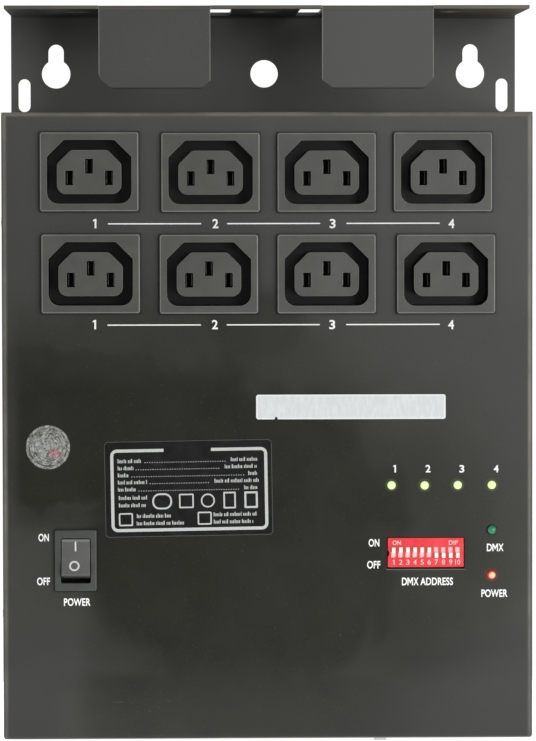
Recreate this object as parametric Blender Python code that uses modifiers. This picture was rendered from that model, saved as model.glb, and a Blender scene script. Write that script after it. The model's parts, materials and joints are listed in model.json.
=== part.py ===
"""Four-channel lighting switch pack: folded steel case, eight mains outlets, address switch and clamp flange.

Run with: blender --background --python part.py
Frame: metres, +Z up, the front faces -Y. The origin lies on the back face of the mounting plate, at the
middle of the case.
"""

from math import acos, asin, cos, degrees, pi, radians, sin, tan

import bmesh
import bpy
from mathutils import Matrix, Vector

MM = 0.001
GAP = 0.3  # clearance between neighbouring pieces

# ---------------------------------------------------------------- driving dimensions, in millimetres
# case
CASE_W = 188.0
CASE_H = 222.4
CASE_D = 69.6
COVER_T = 0.9
COVER_R = 1.3
FRONT_Y = -CASE_D
BOTTOM_Z = -CASE_H / 2

# mounting plate, folded from one sheet
PLATE_T = 1.2
PLATE_W = 185.6
PLATE_BOTTOM = BOTTOM_Z + COVER_T + GAP
FLANGE_TOP = 148.8
FOLD_R = 2.2  # outer radius of each fold
RETURN_D = 14.0
RETURN_HALF_H = 100.0
TABS = ((-59.5, -20.0), (19.4, 58.9))
TAB_BOTTOM = 119.3
TAB_CHAMFERS = ((5.1, 3.9, 3.4, 3.2), (4.1, 3.3, 3.3, 3.3))  # left x, left z, right x, right z
KEYHOLE_X, KEYHOLE_Z, KEYHOLE_R = 76.25, 126.2, 5.25
KEYHOLE_SLOT_W, KEYHOLE_SLOT_TOP = 5.65, 137.05
CENTRE_HOLE = (0.3, 126.25, 5.05)
SIDE_SLOT_X, SIDE_SLOT_W, SIDE_SLOT_Z = 87.9, 4.4, (112.3, 124.4)
WINDOWS = ((-19.9, -12.3), (11.9, 20.2))
WINDOW_Y = (-62.6, -1.5)
FLANGE_HOLES_X, FLANGE_HOLE_Y, FLANGE_HOLE_R = (-68.0, 0.0, 68.0), -37.4, 5.2

# three-pole outlets
OUTLETS = {
    "outlet_1a": (-62.9, 90.2),
    "outlet_2a": (-20.1, 89.9),
    "outlet_3a": (20.9, 89.85),
    "outlet_4a": (62.0, 89.95),
    "outlet_1b": (-62.5, 54.2),
    "outlet_2b": (-20.75, 54.0),
    "outlet_3b": (20.85, 54.0),
    "outlet_4b": (63.1, 53.9),
}
BEZEL_W, BEZEL_H, BEZEL_FRONT = 34.8, 27.9, 2.4
OUTLET_BODY_W, OUTLET_BODY_H, OUTLET_BODY_D = 31.4, 24.6, 20.0
RECESS_W, RECESS_H, RECESS_D = 29.8, 22.5, 14.5
CORE_W, CORE_H = 22.7, 15.5
POLE_W, POLE_H, POLE_D = 2.6, 5.1, 12.0
POLES = ((-7.0, -2.15), (7.0, -2.15), (0.0, 1.95))

# power rocker
ROCKER_AT = (-68.15, -47.3)
ROCKER_BEZEL_W, ROCKER_BEZEL_H, ROCKER_BEZEL_FRONT = 14.85, 21.6, 1.8
ROCKER_OPENING_W, ROCKER_OPENING_H = 10.6, 15.98
ROCKER_BODY_W, ROCKER_BODY_H, ROCKER_BODY_D = 12.9, 19.0, 13.0
ROCKER_W = 10.1
ROCKER_TILT = radians(12.0)  # each way from level
ROCKER_PIVOT_DEPTH = 5.6  # behind the bezel's front

# address switch
DIP_AT = (55.96, -45.02)
DIP_W, DIP_H, DIP_D = 26.98, 10.98, 6.4
DIP_FACE = 0.1  # behind the panel's front
DIP_PITCH = 2.53
DIP_SLOT_W, DIP_SLOT_H, DIP_SLOT_D, DIP_SLOT_Z = 1.7, 3.9, 3.4, 0.17
LEVER_W, LEVER_H, LEVER_FRONT, LEVER_BACK = 1.3, 1.8, -0.75, 3.1
LEVER_THROW = 0.95  # each way from the middle of its slot
LEVERS_UP = 6

# indicator lamps
LEDS = {
    "channel_led_1": (43.8, -21.0),
    "channel_led_2": (55.55, -21.1),
    "channel_led_3": (67.3, -21.0),
    "channel_led_4": (79.4, -21.0),
    "dmx_led": (79.4, -37.0),
    "power_led": (79.25, -53.0),
}
LED_R, LED_PROUD, LED_FLANGE_R = 1.5, 1.7, 1.95

# boards
CONTROL_X, CONTROL_Z, CONTROL_Y = (33.0, 90.0), (-63.0, -12.0), (-62.8, -61.2)
RELAY_X, RELAY_Z, RELAY_Y = (-78.0, 66.0), (-62.0, 48.0), (-9.2, -7.6)
RELAYS = {"relay_1": -60.0, "relay_2": -27.0, "relay_3": 6.0, "relay_4": 39.0}
RELAY_ROW_Z = 27.0

# bottom connectors
CONNECTOR_Y = -35.0
DMX_IN_X, DMX_OUT_X, INLET_X = 72.5, 40.7, -52.0
FLANGE_PROUD = 1.9
BARREL_R, BARREL_D = 11.7, 22.0
LATCH_TRAVEL = 1.5
INLET_Y = (-49.5, -16.5)
APERTURE_Y = -27.2
DRAWER_Y = (-46.3, -37.7)

# side screws
SCREW_Z = (72.0, -72.0)
SCREW_Y = -8.0

# labels
LABEL_T, LABEL_GAP = 0.15, 0.05


# ---------------------------------------------------------------- scene
for old in list(bpy.data.objects):
    bpy.data.objects.remove(old, do_unlink=True)
scene = bpy.context.scene
scene.unit_settings.system = "METRIC"
scene.unit_settings.scale_length = 1.0
PARTS = bpy.data.collections.new("dmx_switch_pack")
CUTTERS = bpy.data.collections.new("cutters")
scene.collection.children.link(PARTS)
scene.collection.children.link(CUTTERS)


def material(name, colour, roughness, metallic=0.0):
    made = bpy.data.materials.new(name)
    made.use_nodes = True
    shader = made.node_tree.nodes["Principled BSDF"]
    shader.inputs["Base Color"].default_value = (*colour, 1.0)
    shader.inputs["Roughness"].default_value = roughness
    shader.inputs["Metallic"].default_value = metallic
    made.diffuse_color = (*colour, 1.0)
    return made


BLACK_STEEL = material("black_powder_coat", (0.022, 0.021, 0.019), 0.5)
BLACK_STEEL_2 = material("black_powder_coat_plate", (0.03, 0.03, 0.028), 0.5)
OUTLET_PLASTIC = material("outlet_plastic", (0.035, 0.035, 0.033), 0.45)
SWITCH_PLASTIC = material("switch_plastic", (0.04, 0.04, 0.038), 0.4)
ROCKER_PLASTIC = material("rocker_plastic", (0.05, 0.05, 0.05), 0.35)
RED_PLASTIC = material("red_plastic", (0.75, 0.03, 0.04), 0.4)
WHITE_PLASTIC = material("white_plastic", (0.85, 0.83, 0.8), 0.4)
GREEN_LENS = material("green_lens", (0.3, 0.9, 0.1), 0.2)
DARK_GREEN_LENS = material("dark_green_lens", (0.02, 0.25, 0.1), 0.2)
AMBER_LENS = material("amber_lens", (1.0, 0.2, 0.03), 0.2)
BOARD_GREEN = material("board_green", (0.02, 0.18, 0.07), 0.5)
RELAY_BLUE = material("relay_blue", (0.02, 0.12, 0.5), 0.4)
LAMINATION = material("lamination_steel", (0.25, 0.25, 0.26), 0.45, 0.8)
CAN_BLACK = material("capacitor_sleeve", (0.02, 0.02, 0.03), 0.35)
TERMINAL_GREEN = material("terminal_green", (0.05, 0.35, 0.12), 0.45)
CHIP_BLACK = material("chip_black", (0.015, 0.015, 0.015), 0.5)
RIBBON_GREY = material("ribbon_grey", (0.4, 0.4, 0.42), 0.5)
CONNECTOR_BLACK = material("connector_black", (0.025, 0.025, 0.025), 0.4)
STEEL = material("zinc_steel", (0.6, 0.6, 0.62), 0.3, 1.0)
BRASS = material("brass", (0.7, 0.5, 0.2), 0.3, 1.0)
GLASS = material("fuse_glass", (0.8, 0.85, 0.85), 0.1)
SILVER_FILM = material("silver_film", (0.6, 0.6, 0.6), 0.3, 0.7)
WHITE_FILM = material("white_film", (0.85, 0.85, 0.84), 0.5)
BLACK_FILM = material("black_film", (0.015, 0.015, 0.015), 0.3)


# ---------------------------------------------------------------- outlines, as lists of 2D points
def rect(x0, x1, y0, y1):
    return [(x0, y0), (x1, y0), (x1, y1), (x0, y1)]


def circle(cx, cy, r, n=24, start=0.0):
    return [(cx + r * cos(start + 2 * pi * k / n), cy + r * sin(start + 2 * pi * k / n)) for k in range(n)]


def arc(cx, cy, r, a0, a1, n):
    return [(cx + r * cos(radians(a0 + (a1 - a0) * k / n)), cy + r * sin(radians(a0 + (a1 - a0) * k / n))) for k in range(n + 1)]


def rounded(cx, cy, w, h, r, n=3):
    x0, x1, y0, y1 = cx - w / 2 + r, cx + w / 2 - r, cy - h / 2 + r, cy + h / 2 - r
    return arc(x1, y0, r, -90, 0, n) + arc(x1, y1, r, 0, 90, n) + arc(x0, y1, r, 90, 180, n) + arc(x0, y0, r, 180, 270, n)


def appliance(cx, cy, w, h, chamfer, r=2.0, n=3):
    """The outline of a three-pole connector: two corners cut at 45 degrees, the other two rounded."""
    x0, x1, y0, y1 = cx - w / 2, cx + w / 2, cy - h / 2, cy + h / 2
    return (
        arc(x1 - r, y0 + r, r, -90, 0, n)
        + [(x1, y1 - chamfer), (x1 - chamfer, y1), (x0 + chamfer, y1), (x0, y1 - chamfer)]
        + arc(x0 + r, y0 + r, r, 180, 270, n)
    )


def keyhole(cx, cz, r, slot_w, top, n=18):
    half = slot_w / 2
    a = degrees(acos(half / r))
    return arc(cx, cz, r, 180 - a, 360 + a, n) + arc(cx, top - half, half, 0, 180, 6)


# ---------------------------------------------------------------- solids
TURN = {
    "Y": Matrix.Rotation(radians(90), 4, "X"),  # outline in XZ, thickness along Y
    "Z": Matrix.Identity(4),  # outline in XY, thickness along Z
    "X": Matrix(((0, 0, 1, 0), (1, 0, 0, 0), (0, 1, 0, 0), (0, 0, 0, 1))),  # outline in YZ, thickness along X
}


def slab(name, loops, axis, low, high, collection=None):
    """A flat outline, with holes where loops lie inside loops, between two levels along the axis."""
    curve = bpy.data.curves.new(name + "_outline", "CURVE")
    curve.dimensions = "2D"
    curve.fill_mode = "BOTH"
    curve.extrude = (high - low) / 2 * MM
    for loop in loops:
        spline = curve.splines.new("POLY")
        spline.points.add(len(loop) - 1)
        for point, (u, v) in zip(spline.points, loop):
            point.co = (u * MM, v * MM, 0, 1)
        spline.use_cyclic_u = True
    drawn = bpy.data.objects.new(name + "_curve", curve)
    scene.collection.objects.link(drawn)
    graph = bpy.context.evaluated_depsgraph_get()
    mesh = bpy.data.meshes.new_from_object(drawn.evaluated_get(graph))
    mesh.name = name
    bm = bmesh.new()
    bm.from_mesh(mesh)
    bmesh.ops.remove_doubles(bm, verts=bm.verts, dist=1e-6)
    middle = (high + low) / 2 * MM
    shift = {"X": Vector((middle, 0, 0)), "Y": Vector((0, middle, 0)), "Z": Vector((0, 0, middle))}[axis]
    bmesh.ops.transform(bm, matrix=Matrix.Translation(shift) @ TURN[axis], verts=bm.verts)
    bmesh.ops.recalc_face_normals(bm, faces=bm.faces)
    bm.to_mesh(mesh)
    bm.free()
    mesh.materials.clear()
    bpy.data.objects.remove(drawn, do_unlink=True)
    bpy.data.curves.remove(curve)
    made = bpy.data.objects.new(name, mesh)
    (collection or CUTTERS).objects.link(made)
    return made


def box(name, x, y, z, collection=None):
    bm = bmesh.new()
    size = Matrix.Diagonal(((x[1] - x[0]) * MM, (y[1] - y[0]) * MM, (z[1] - z[0]) * MM, 1))
    centre = Vector((sum(x), sum(y), sum(z))) * MM / 2
    bmesh.ops.create_cube(bm, size=1.0, matrix=Matrix.Translation(centre) @ size)
    mesh = bpy.data.meshes.new(name)
    bm.to_mesh(mesh)
    bm.free()
    made = bpy.data.objects.new(name, mesh)
    (collection or CUTTERS).objects.link(made)
    return made


def rod(name, at, axis, r, low, high, n=16, collection=None):
    """A round bar about the axis through (at), between two levels along it."""
    bm = bmesh.new()
    turn = {"X": Matrix.Rotation(radians(90), 4, "Y"), "Y": Matrix.Rotation(radians(90), 4, "X"), "Z": Matrix.Identity(4)}[axis]
    middle = (low + high) / 2
    centre = {"X": (middle, at[0], at[1]), "Y": (at[0], middle, at[1]), "Z": (at[0], at[1], middle)}[axis]
    bmesh.ops.create_cone(
        bm,
        cap_ends=True,
        segments=n,
        radius1=r * MM,
        radius2=r * MM,
        depth=(high - low) * MM,
        matrix=Matrix.Translation(Vector(centre) * MM) @ turn,
    )
    mesh = bpy.data.meshes.new(name)
    bm.to_mesh(mesh)
    bm.free()
    made = bpy.data.objects.new(name, mesh)
    (collection or CUTTERS).objects.link(made)
    return made


def turned(name, profile, n=16, collection=None):
    """A profile of (radius, height) pairs, listed from the top down, turned about Z."""
    mesh = bpy.data.meshes.new(name)
    bm = bmesh.new()
    points = [bm.verts.new((r * MM, 0, z * MM)) for r, z in profile]
    for a, b in zip(points, points[1:]):
        bm.edges.new((a, b))
    bm.to_mesh(mesh)
    bm.free()
    made = bpy.data.objects.new(name, mesh)
    (collection or CUTTERS).objects.link(made)
    screw = made.modifiers.new("turn", "SCREW")
    screw.axis = "Z"
    screw.steps = screw.render_steps = n
    screw.use_merge_vertices = True
    screw.merge_threshold = 1e-6
    return made


def boolean(target, other, operation):
    modifier = target.modifiers.new(operation.lower() + "_" + other.name, "BOOLEAN")
    modifier.operation = operation
    modifier.object = other
    modifier.solver = "EXACT"
    other.parent = target  # a helper moves with the piece that it shapes
    other.hide_render = True
    other.display_type = "WIRE"
    return target


def cut(target, *others):
    for other in others:
        boolean(target, other, "DIFFERENCE")
    return target


def join(target, *others):
    for other in others:
        boolean(target, other, "UNION")
    return target


def baked(target, name):
    """The finished mesh of a shape whose modifiers are done with, for sharing between copies."""
    bpy.context.view_layer.update()
    graph = bpy.context.evaluated_depsgraph_get()
    mesh = bpy.data.meshes.new_from_object(target.evaluated_get(graph))
    mesh.name = name
    return mesh


def finish(made, skin, smooth=True):
    """Gives a piece its material, smooth shading with sharp edges kept, and its place in the collection."""
    for collection in list(made.users_collection):
        collection.objects.unlink(made)
    PARTS.objects.link(made)
    made.data.materials.clear()
    made.data.materials.append(skin)
    made.hide_render = False
    made.display_type = "TEXTURED"
    if smooth and made.data.polygons:
        made.data.shade_smooth()
        made.data.set_sharp_from_angle(angle=radians(30))
    return made


def place(made, x, y, z, parent=None):
    made.location = (x * MM, y * MM, z * MM)
    if parent:
        made.parent = parent
    return made


def copies(mesh, places, skin):
    mesh.materials.clear()
    mesh.materials.append(skin)
    mesh.shade_smooth()
    mesh.set_sharp_from_angle(angle=radians(30))
    for name, at in places.items():
        made = bpy.data.objects.new(name, mesh)
        PARTS.objects.link(made)
        place(made, *at)


# ---------------------------------------------------------------- front cover: a folded five-sided tray
bm = bmesh.new()
bmesh.ops.create_cube(
    bm,
    size=1.0,
    matrix=Matrix.Translation((0, FRONT_Y / 2 * MM, 0)) @ Matrix.Diagonal((CASE_W * MM, CASE_D * MM, CASE_H * MM, 1)),
)
back = [face for face in bm.faces if face.calc_center_median().y > -1e-6]
bmesh.ops.delete(bm, geom=back, context="FACES_ONLY")
folds = [edge for edge in bm.edges if not edge.is_boundary]
bmesh.ops.bevel(bm, geom=folds, offset=COVER_R * MM, segments=3, profile=0.5, affect="EDGES")
mesh = bpy.data.meshes.new("front_cover")
bm.to_mesh(mesh)
bm.free()
cover = bpy.data.objects.new("front_cover", mesh)
PARTS.objects.link(cover)
wall = cover.modifiers.new("sheet", "SOLIDIFY")
wall.thickness = COVER_T * MM
wall.offset = -1.0
wall.use_even_offset = True

front_holes = [rect(x - OUTLET_BODY_W / 2 - GAP, x + OUTLET_BODY_W / 2 + GAP, z - OUTLET_BODY_H / 2 - GAP, z + OUTLET_BODY_H / 2 + GAP) for x, z in OUTLETS.values()]
x, z = ROCKER_AT
front_holes.append(rect(x - ROCKER_BODY_W / 2 - GAP, x + ROCKER_BODY_W / 2 + GAP, z - ROCKER_BODY_H / 2 - GAP, z + ROCKER_BODY_H / 2 + GAP))
x, z = DIP_AT
front_holes.append(rect(x - DIP_W / 2 - GAP, x + DIP_W / 2 + GAP, z - DIP_H / 2 - GAP, z + DIP_H / 2 + GAP))
front_holes += [circle(x, z, LED_R + 0.25, 16) for x, z in LEDS.values()]
bottom_holes = [circle(DMX_IN_X, CONNECTOR_Y, BARREL_R + GAP, 32)]
bottom_holes.append(rect(INLET_X - 14.0, INLET_X + 14.0, INLET_Y[0] + 1.0, INLET_Y[1] - 1.0))
# the output socket's round hole has a notch for its latch
half = 3.8
reach = BARREL_R + GAP
bottom_holes.append(
    arc(DMX_OUT_X, CONNECTOR_Y, reach, -90 + degrees(asin(half / reach)), 270 - degrees(asin(half / reach)), 30)
    + [(DMX_OUT_X - half, CONNECTOR_Y - 14.8), (DMX_OUT_X + half, CONNECTOR_Y - 14.8)]
)
cut(
    cover,
    slab("front_holes", front_holes, "Y", FRONT_Y - 3, FRONT_Y + 3),
    slab("bottom_holes", bottom_holes, "Z", BOTTOM_Z - 3, BOTTOM_Z + 3),
    box("top_wall_relief", (-PLATE_W / 2 - 0.45, PLATE_W / 2 + 0.45), (-PLATE_T - GAP, 2), (CASE_H / 2 - 1.6, CASE_H / 2 + 3)),
    *[rod(f"cover_screw_hole_{k}", (SCREW_Y, z), "X", 2.3, -CASE_W / 2 - 2, CASE_W / 2 + 2, 16) for k, z in enumerate(SCREW_Z)],
)
finish(cover, BLACK_STEEL)

# ---------------------------------------------------------------- mounting plate with clamp flange
inner = FOLD_R - PLATE_T
corner_y, corner_z = -FOLD_R, FLANGE_TOP - FOLD_R
side_view = (
    [(0, PLATE_BOTTOM)]
    + arc(corner_y, corner_z, FOLD_R, 0, 90, 4)
    + [(FRONT_Y, FLANGE_TOP), (FRONT_Y, FLANGE_TOP - PLATE_T)]
    + arc(corner_y, corner_z, inner, 90, 0, 3)
    + [(-PLATE_T, PLATE_BOTTOM)]
)
plate = slab("mounting_plate", [side_view], "X", -PLATE_W / 2, PLATE_W / 2)

lip_y = FRONT_Y + FOLD_R
tab_view = (
    [(lip_y + 0.5, FLANGE_TOP)]
    + arc(lip_y, corner_z, FOLD_R, 90, 180, 4)
    + [(FRONT_Y, TAB_BOTTOM), (FRONT_Y + PLATE_T, TAB_BOTTOM)]
    + arc(lip_y, corner_z, inner, 180, 90, 3)
    + [(lip_y + 0.5, FLANGE_TOP - PLATE_T)]
)
notches = [rect(x0, x1, FRONT_Y - 2, lip_y) for x0, x1 in TABS]
cut(plate, slab("tab_notches", notches, "Z", FLANGE_TOP - 3, FLANGE_TOP + 2))
for k, ((x0, x1), (lx, lz, rx, rz)) in enumerate(zip(TABS, TAB_CHAMFERS)):
    tab = slab(f"tab_{k}", [tab_view], "X", x0, x1)
    corners = [
        [(x0 - 1, TAB_BOTTOM - 1), (x0 + lx, TAB_BOTTOM - 1), (x0 + lx, TAB_BOTTOM), (x0 + lx * 0.3, TAB_BOTTOM + lz * 0.3), (x0, TAB_BOTTOM + lz), (x0 - 1, TAB_BOTTOM + lz)],
        [(x1 + 1, TAB_BOTTOM - 1), (x1 + 1, TAB_BOTTOM + rz), (x1, TAB_BOTTOM + rz), (x1 - rx, TAB_BOTTOM), (x1 - rx, TAB_BOTTOM - 1)],
    ]
    cut(tab, slab(f"tab_corners_{k}", corners, "Y", FRONT_Y - 2, FRONT_Y + 4))
    join(plate, tab)
edge = PLATE_W / 2
for k, (x0, x1) in enumerate(((-edge, -edge + PLATE_T), (edge - PLATE_T, edge))):
    join(plate, box(f"side_return_{k}", (x0, x1), (-RETURN_D, -PLATE_T / 2), (-RETURN_HALF_H, RETURN_HALF_H)))
back_holes = [keyhole(x, KEYHOLE_Z, KEYHOLE_R, KEYHOLE_SLOT_W, KEYHOLE_SLOT_TOP) for x in (-KEYHOLE_X, KEYHOLE_X)]
back_holes.append(circle(*CENTRE_HOLE, 24))
slot_r = SIDE_SLOT_W / 2
back_holes += [arc(x, SIDE_SLOT_Z[1] - slot_r, slot_r, 0, 180, 6) + arc(x, SIDE_SLOT_Z[0] + slot_r, slot_r, 180, 360, 6) for x in (-SIDE_SLOT_X, SIDE_SLOT_X)]
flange_openings = [rect(x0, x1, *WINDOW_Y) for x0, x1 in WINDOWS]
flange_openings += [circle(x, FLANGE_HOLE_Y, FLANGE_HOLE_R, 24) for x in FLANGE_HOLES_X]
cut(
    plate,
    slab("back_holes", back_holes, "Y", -6, 3),
    slab("flange_openings", flange_openings, "Z", FLANGE_TOP - 4, FLANGE_TOP + 3),
    *[rod(f"return_screw_hole_{k}", (SCREW_Y, z), "X", 2.3, -CASE_W / 2 - 1, CASE_W / 2 + 1, 16) for k, z in enumerate(SCREW_Z)],
)
finish(plate, BLACK_STEEL_2)

# ---------------------------------------------------------------- eight outlets sharing one shape
block = slab("outlet_bezel", [rounded(0, 0, BEZEL_W, BEZEL_H, 1.0, 2)], "Y", -BEZEL_FRONT, -GAP)
join(block, box("outlet_body", (-OUTLET_BODY_W / 2, OUTLET_BODY_W / 2), (-1.2, OUTLET_BODY_D), (-OUTLET_BODY_H / 2, OUTLET_BODY_H / 2)))
ring = [appliance(0, 0, RECESS_W, RECESS_H, 5.7, 2.4), appliance(0, -0.1, CORE_W, CORE_H, 4.2, 1.6)]
cut(
    block,
    slab("outlet_ring", ring, "Y", -BEZEL_FRONT - 2, RECESS_D),
    slab("outlet_poles", [rect(x - POLE_W / 2, x + POLE_W / 2, z - POLE_H / 2, z + POLE_H / 2) for x, z in POLES], "Y", -BEZEL_FRONT - 2, POLE_D),
)
tails = [box(f"outlet_tail_{k}", (x - 3.15, x + 3.15) if k < 2 else (x - 0.4, x + 0.4), (OUTLET_BODY_D - 1, OUTLET_BODY_D + 7), (z - 0.4, z + 0.4) if k < 2 else (z + 1.85, z + 8.15)) for k, (x, z) in enumerate(POLES)]
join(block, *tails)
copies(baked(block, "outlet"), {name: (x, FRONT_Y, z) for name, (x, z) in OUTLETS.items()}, OUTLET_PLASTIC)

# ---------------------------------------------------------------- power rocker
x, z = ROCKER_AT
pivot_y = -ROCKER_BEZEL_FRONT + ROCKER_PIVOT_DEPTH
housing = slab("power_switch_housing", [rounded(0, 0, ROCKER_BEZEL_W, ROCKER_BEZEL_H, 1.2, 3)], "Y", -ROCKER_BEZEL_FRONT, -GAP)
join(housing, box("switch_body", (-ROCKER_BODY_W / 2, ROCKER_BODY_W / 2), (-1.0, ROCKER_BODY_D), (-ROCKER_BODY_H / 2, ROCKER_BODY_H / 2)))
cut(
    housing,
    slab("switch_well", [rounded(0, -0.1, ROCKER_OPENING_W, ROCKER_OPENING_H, 0.6, 2)], "Y", -4, 9.5),
    rod("switch_pivot_holes", (pivot_y, -0.1), "X", 1.5, -6.1, 6.1, 12),
)
join(housing, *[box(f"switch_tail_{k}", (-2.4, 2.4), (ROCKER_BODY_D - 1, ROCKER_BODY_D + 7), (level - 0.4, level + 0.4)) for k, level in enumerate((-6.5, 0.0, 6.5))])
finish(housing, SWITCH_PLASTIC)
place(housing, x, FRONT_Y, z)

# seen from the side: out of the panel is -Y; the face is a shallow V, and each half lies level when pressed
a, c = 6.2, 5.8
u = c + a * tan(ROCKER_TILT)
rocker_view = [(-c, 0), (-u + 0.25, a - 0.25), (-u + 0.3, a + 0.1), (-2.0, 7.35), (1.0, 3.5), (3.2, 1.2), (3.2, -1.2), (1.0, -3.5), (-2.0, -7.35), (-u + 0.3, -a - 0.1), (-u + 0.25, -a + 0.25)]
rocker = slab("power_rocker", [rocker_view], "X", -ROCKER_W / 2, ROCKER_W / 2)
join(rocker, rod("rocker_trunnions", (0, 0), "X", 1.2, -5.8, 5.8, 12))
finish(rocker, ROCKER_PLASTIC)
place(rocker, x, FRONT_Y + pivot_y, z - 0.1)
rocker.rotation_euler.x = -ROCKER_TILT

# ---------------------------------------------------------------- address switch: body and ten levers
x, z = DIP_AT
dip = box("dip_switch_body", (-DIP_W / 2, DIP_W / 2), (DIP_FACE, DIP_FACE + DIP_D), (-DIP_H / 2, DIP_H / 2))
columns = [(k - 4.5) * DIP_PITCH for k in range(10)]
slots = [rect(u - DIP_SLOT_W / 2, u + DIP_SLOT_W / 2, DIP_SLOT_Z - DIP_SLOT_H / 2, DIP_SLOT_Z + DIP_SLOT_H / 2) for u in columns]
cut(dip, slab("dip_slots", slots, "Y", -2, DIP_FACE + DIP_SLOT_D))
finish(dip, RED_PLASTIC)
place(dip, x, FRONT_Y, z)
for k, u in enumerate(columns):
    lever = box(f"dip_lever_{k + 1}", (-LEVER_W / 2, LEVER_W / 2), (LEVER_FRONT, LEVER_BACK), (-LEVER_H / 2, LEVER_H / 2))
    finish(lever, WHITE_PLASTIC, smooth=False)
    place(lever, x + u, FRONT_Y, z + DIP_SLOT_Z + (LEVER_THROW if k < LEVERS_UP else -LEVER_THROW))

# ---------------------------------------------------------------- indicator lamps on spacers
dome = [(LED_R * sin(radians(t)), LED_PROUD - LED_R + LED_R * cos(radians(t))) for t in (0, 25, 50, 75, 90)]
lamp = turned("led", dome + [(LED_R, -2.6), (LED_FLANGE_R, -2.6), (LED_FLANGE_R, -3.6), (1.7, -3.6), (1.7, -6.5), (0, -6.5)], 16)
lamp_mesh = baked(lamp, "led")
lamp_mesh.transform(Matrix.Rotation(radians(90), 4, "X"))
bpy.data.objects.remove(lamp, do_unlink=True)
for name, (x, z) in LEDS.items():
    skin = GREEN_LENS if name.startswith("channel") else DARK_GREEN_LENS if name == "dmx_led" else AMBER_LENS
    led = bpy.data.objects.new(name, lamp_mesh.copy())
    CUTTERS.objects.link(led)
    finish(led, skin)
    place(led, x, FRONT_Y, z)

# ---------------------------------------------------------------- control board behind the panel
control = box("control_board", CONTROL_X, CONTROL_Y, CONTROL_Z)
finish(control, BOARD_GREEN, smooth=False)
chip = box("controller_chip", (44.0, 70.0), (CONTROL_Y[1] + GAP, CONTROL_Y[1] + 4.3), (-31.0, -24.0))
cut(chip, rod("chip_notch", (CONTROL_Y[1] + 4.3, -27.5), "X", 1.0, 43.0, 45.5, 10))
finish(chip, CHIP_BLACK)
for k, (x, z) in enumerate(((37.5, -57.5), (86.5, -29.0))):
    post = rod(f"control_board_standoff_{k + 1}", (x, z), "Y", 2.9, FRONT_Y + COVER_T + GAP, CONTROL_Y[0] - GAP, 6)
    finish(post, STEEL, smooth=False)

# ---------------------------------------------------------------- relay board on the mounting plate
board = box("relay_board", RELAY_X, RELAY_Y, RELAY_Z)
finish(board, BOARD_GREEN, smooth=False)
front = RELAY_Y[0] - GAP
for name, x in RELAYS.items():
    relay = box(name, (x - 14.5, x + 14.5), (front - 25.5, front), (RELAY_ROW_Z - 6.4, RELAY_ROW_Z + 6.4))
    chamfer = relay.modifiers.new("edges", "BEVEL")
    chamfer.width = 0.6 * MM
    chamfer.segments = 1
    finish(relay, RELAY_BLUE, smooth=False)
core = box("mains_transformer", (-72.0, -32.0), (front - 28.0, front - 2.0), (-40.0, -16.0))
join(core, box("transformer_winding", (-64.5, -39.5), (front - 31.0, front), (-46.0, -10.0)))
finish(core, LAMINATION, smooth=False)
can = turned("smoothing_capacitor", [(0, 21.0), (5.9, 21.0), (6.4, 20.4), (6.4, 2.0), (6.0, 1.4), (6.4, 0.8), (6.4, 0), (0, 0)], 20)
can.rotation_euler.x = radians(90)
finish(can, CAN_BLACK)
place(can, -14.0, front, -24.0)
strip = box("mains_terminal_block", (-22.0, 42.0), (front - 14.5, front), (-59.0, -47.0))
cut(strip, *[box(f"terminal_mouth_{k}", (-19.0 + 7.6 * k, -14.2 + 7.6 * k), (front - 6.5, front - 2.0), (-60.0, -52.0)) for k in range(8)])
finish(strip, TERMINAL_GREEN, smooth=False)
for k, (x, z) in enumerate(((RELAY_X[0] + 4, RELAY_Z[1] - 4), (RELAY_X[1] - 4, RELAY_Z[1] - 4), (RELAY_X[0] + 4, RELAY_Z[0] + 4), (RELAY_X[1] - 4, RELAY_Z[0] + 4))):
    post = rod(f"relay_board_standoff_{k + 1}", (x, z), "Y", 3.2, RELAY_Y[1] + GAP, -PLATE_T - GAP, 6)
    finish(post, STEEL, smooth=False)

# flat cable between the boards: a thin band with a plug at each end, bent in one smooth S
start = Vector((CONTROL_Y[1] + 7.0, -50.0))
end = Vector((front - 7.0, -38.0))
middle_line = []
for k in range(25):
    t = k / 24
    lift = t * t * (3 - 2 * t)
    middle_line.append(Vector((start.x + (end.x - start.x) * t, start.y + (end.y - start.y) * lift)))
upper, lower = [], []
for k, point in enumerate(middle_line):
    along = (middle_line[min(k + 1, 24)] - middle_line[max(k - 1, 0)]).normalized()
    side = Vector((-along.y, along.x)) * 0.5
    upper.append(tuple(point + side))
    lower.append(tuple(point - side))
ribbon = slab("ribbon_cable", [upper + lower[::-1]], "X", 50.65, 63.35)
join(
    ribbon,
    box("ribbon_plug_front", (49.0, 65.0), (CONTROL_Y[1] + GAP, CONTROL_Y[1] + 8.0), (-53.0, -47.0)),
    box("ribbon_plug_back", (49.0, 65.0), (front - 8.0, front), (-41.0, -35.0)),
)
finish(ribbon, RIBBON_GREY)

# earthing stud on the plate
stud = rod("earth_stud", (-84.0, -78.0), "Y", 2.5, -14.0, -PLATE_T - GAP, 12)
join(stud, rod("earth_nut", (-84.0, -78.0), "Y", 4.6, -7.0, -3.0, 6), rod("earth_washer", (-84.0, -78.0), "Y", 5.0, -3.2, -2.0, 16))
finish(stud, BRASS)

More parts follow.
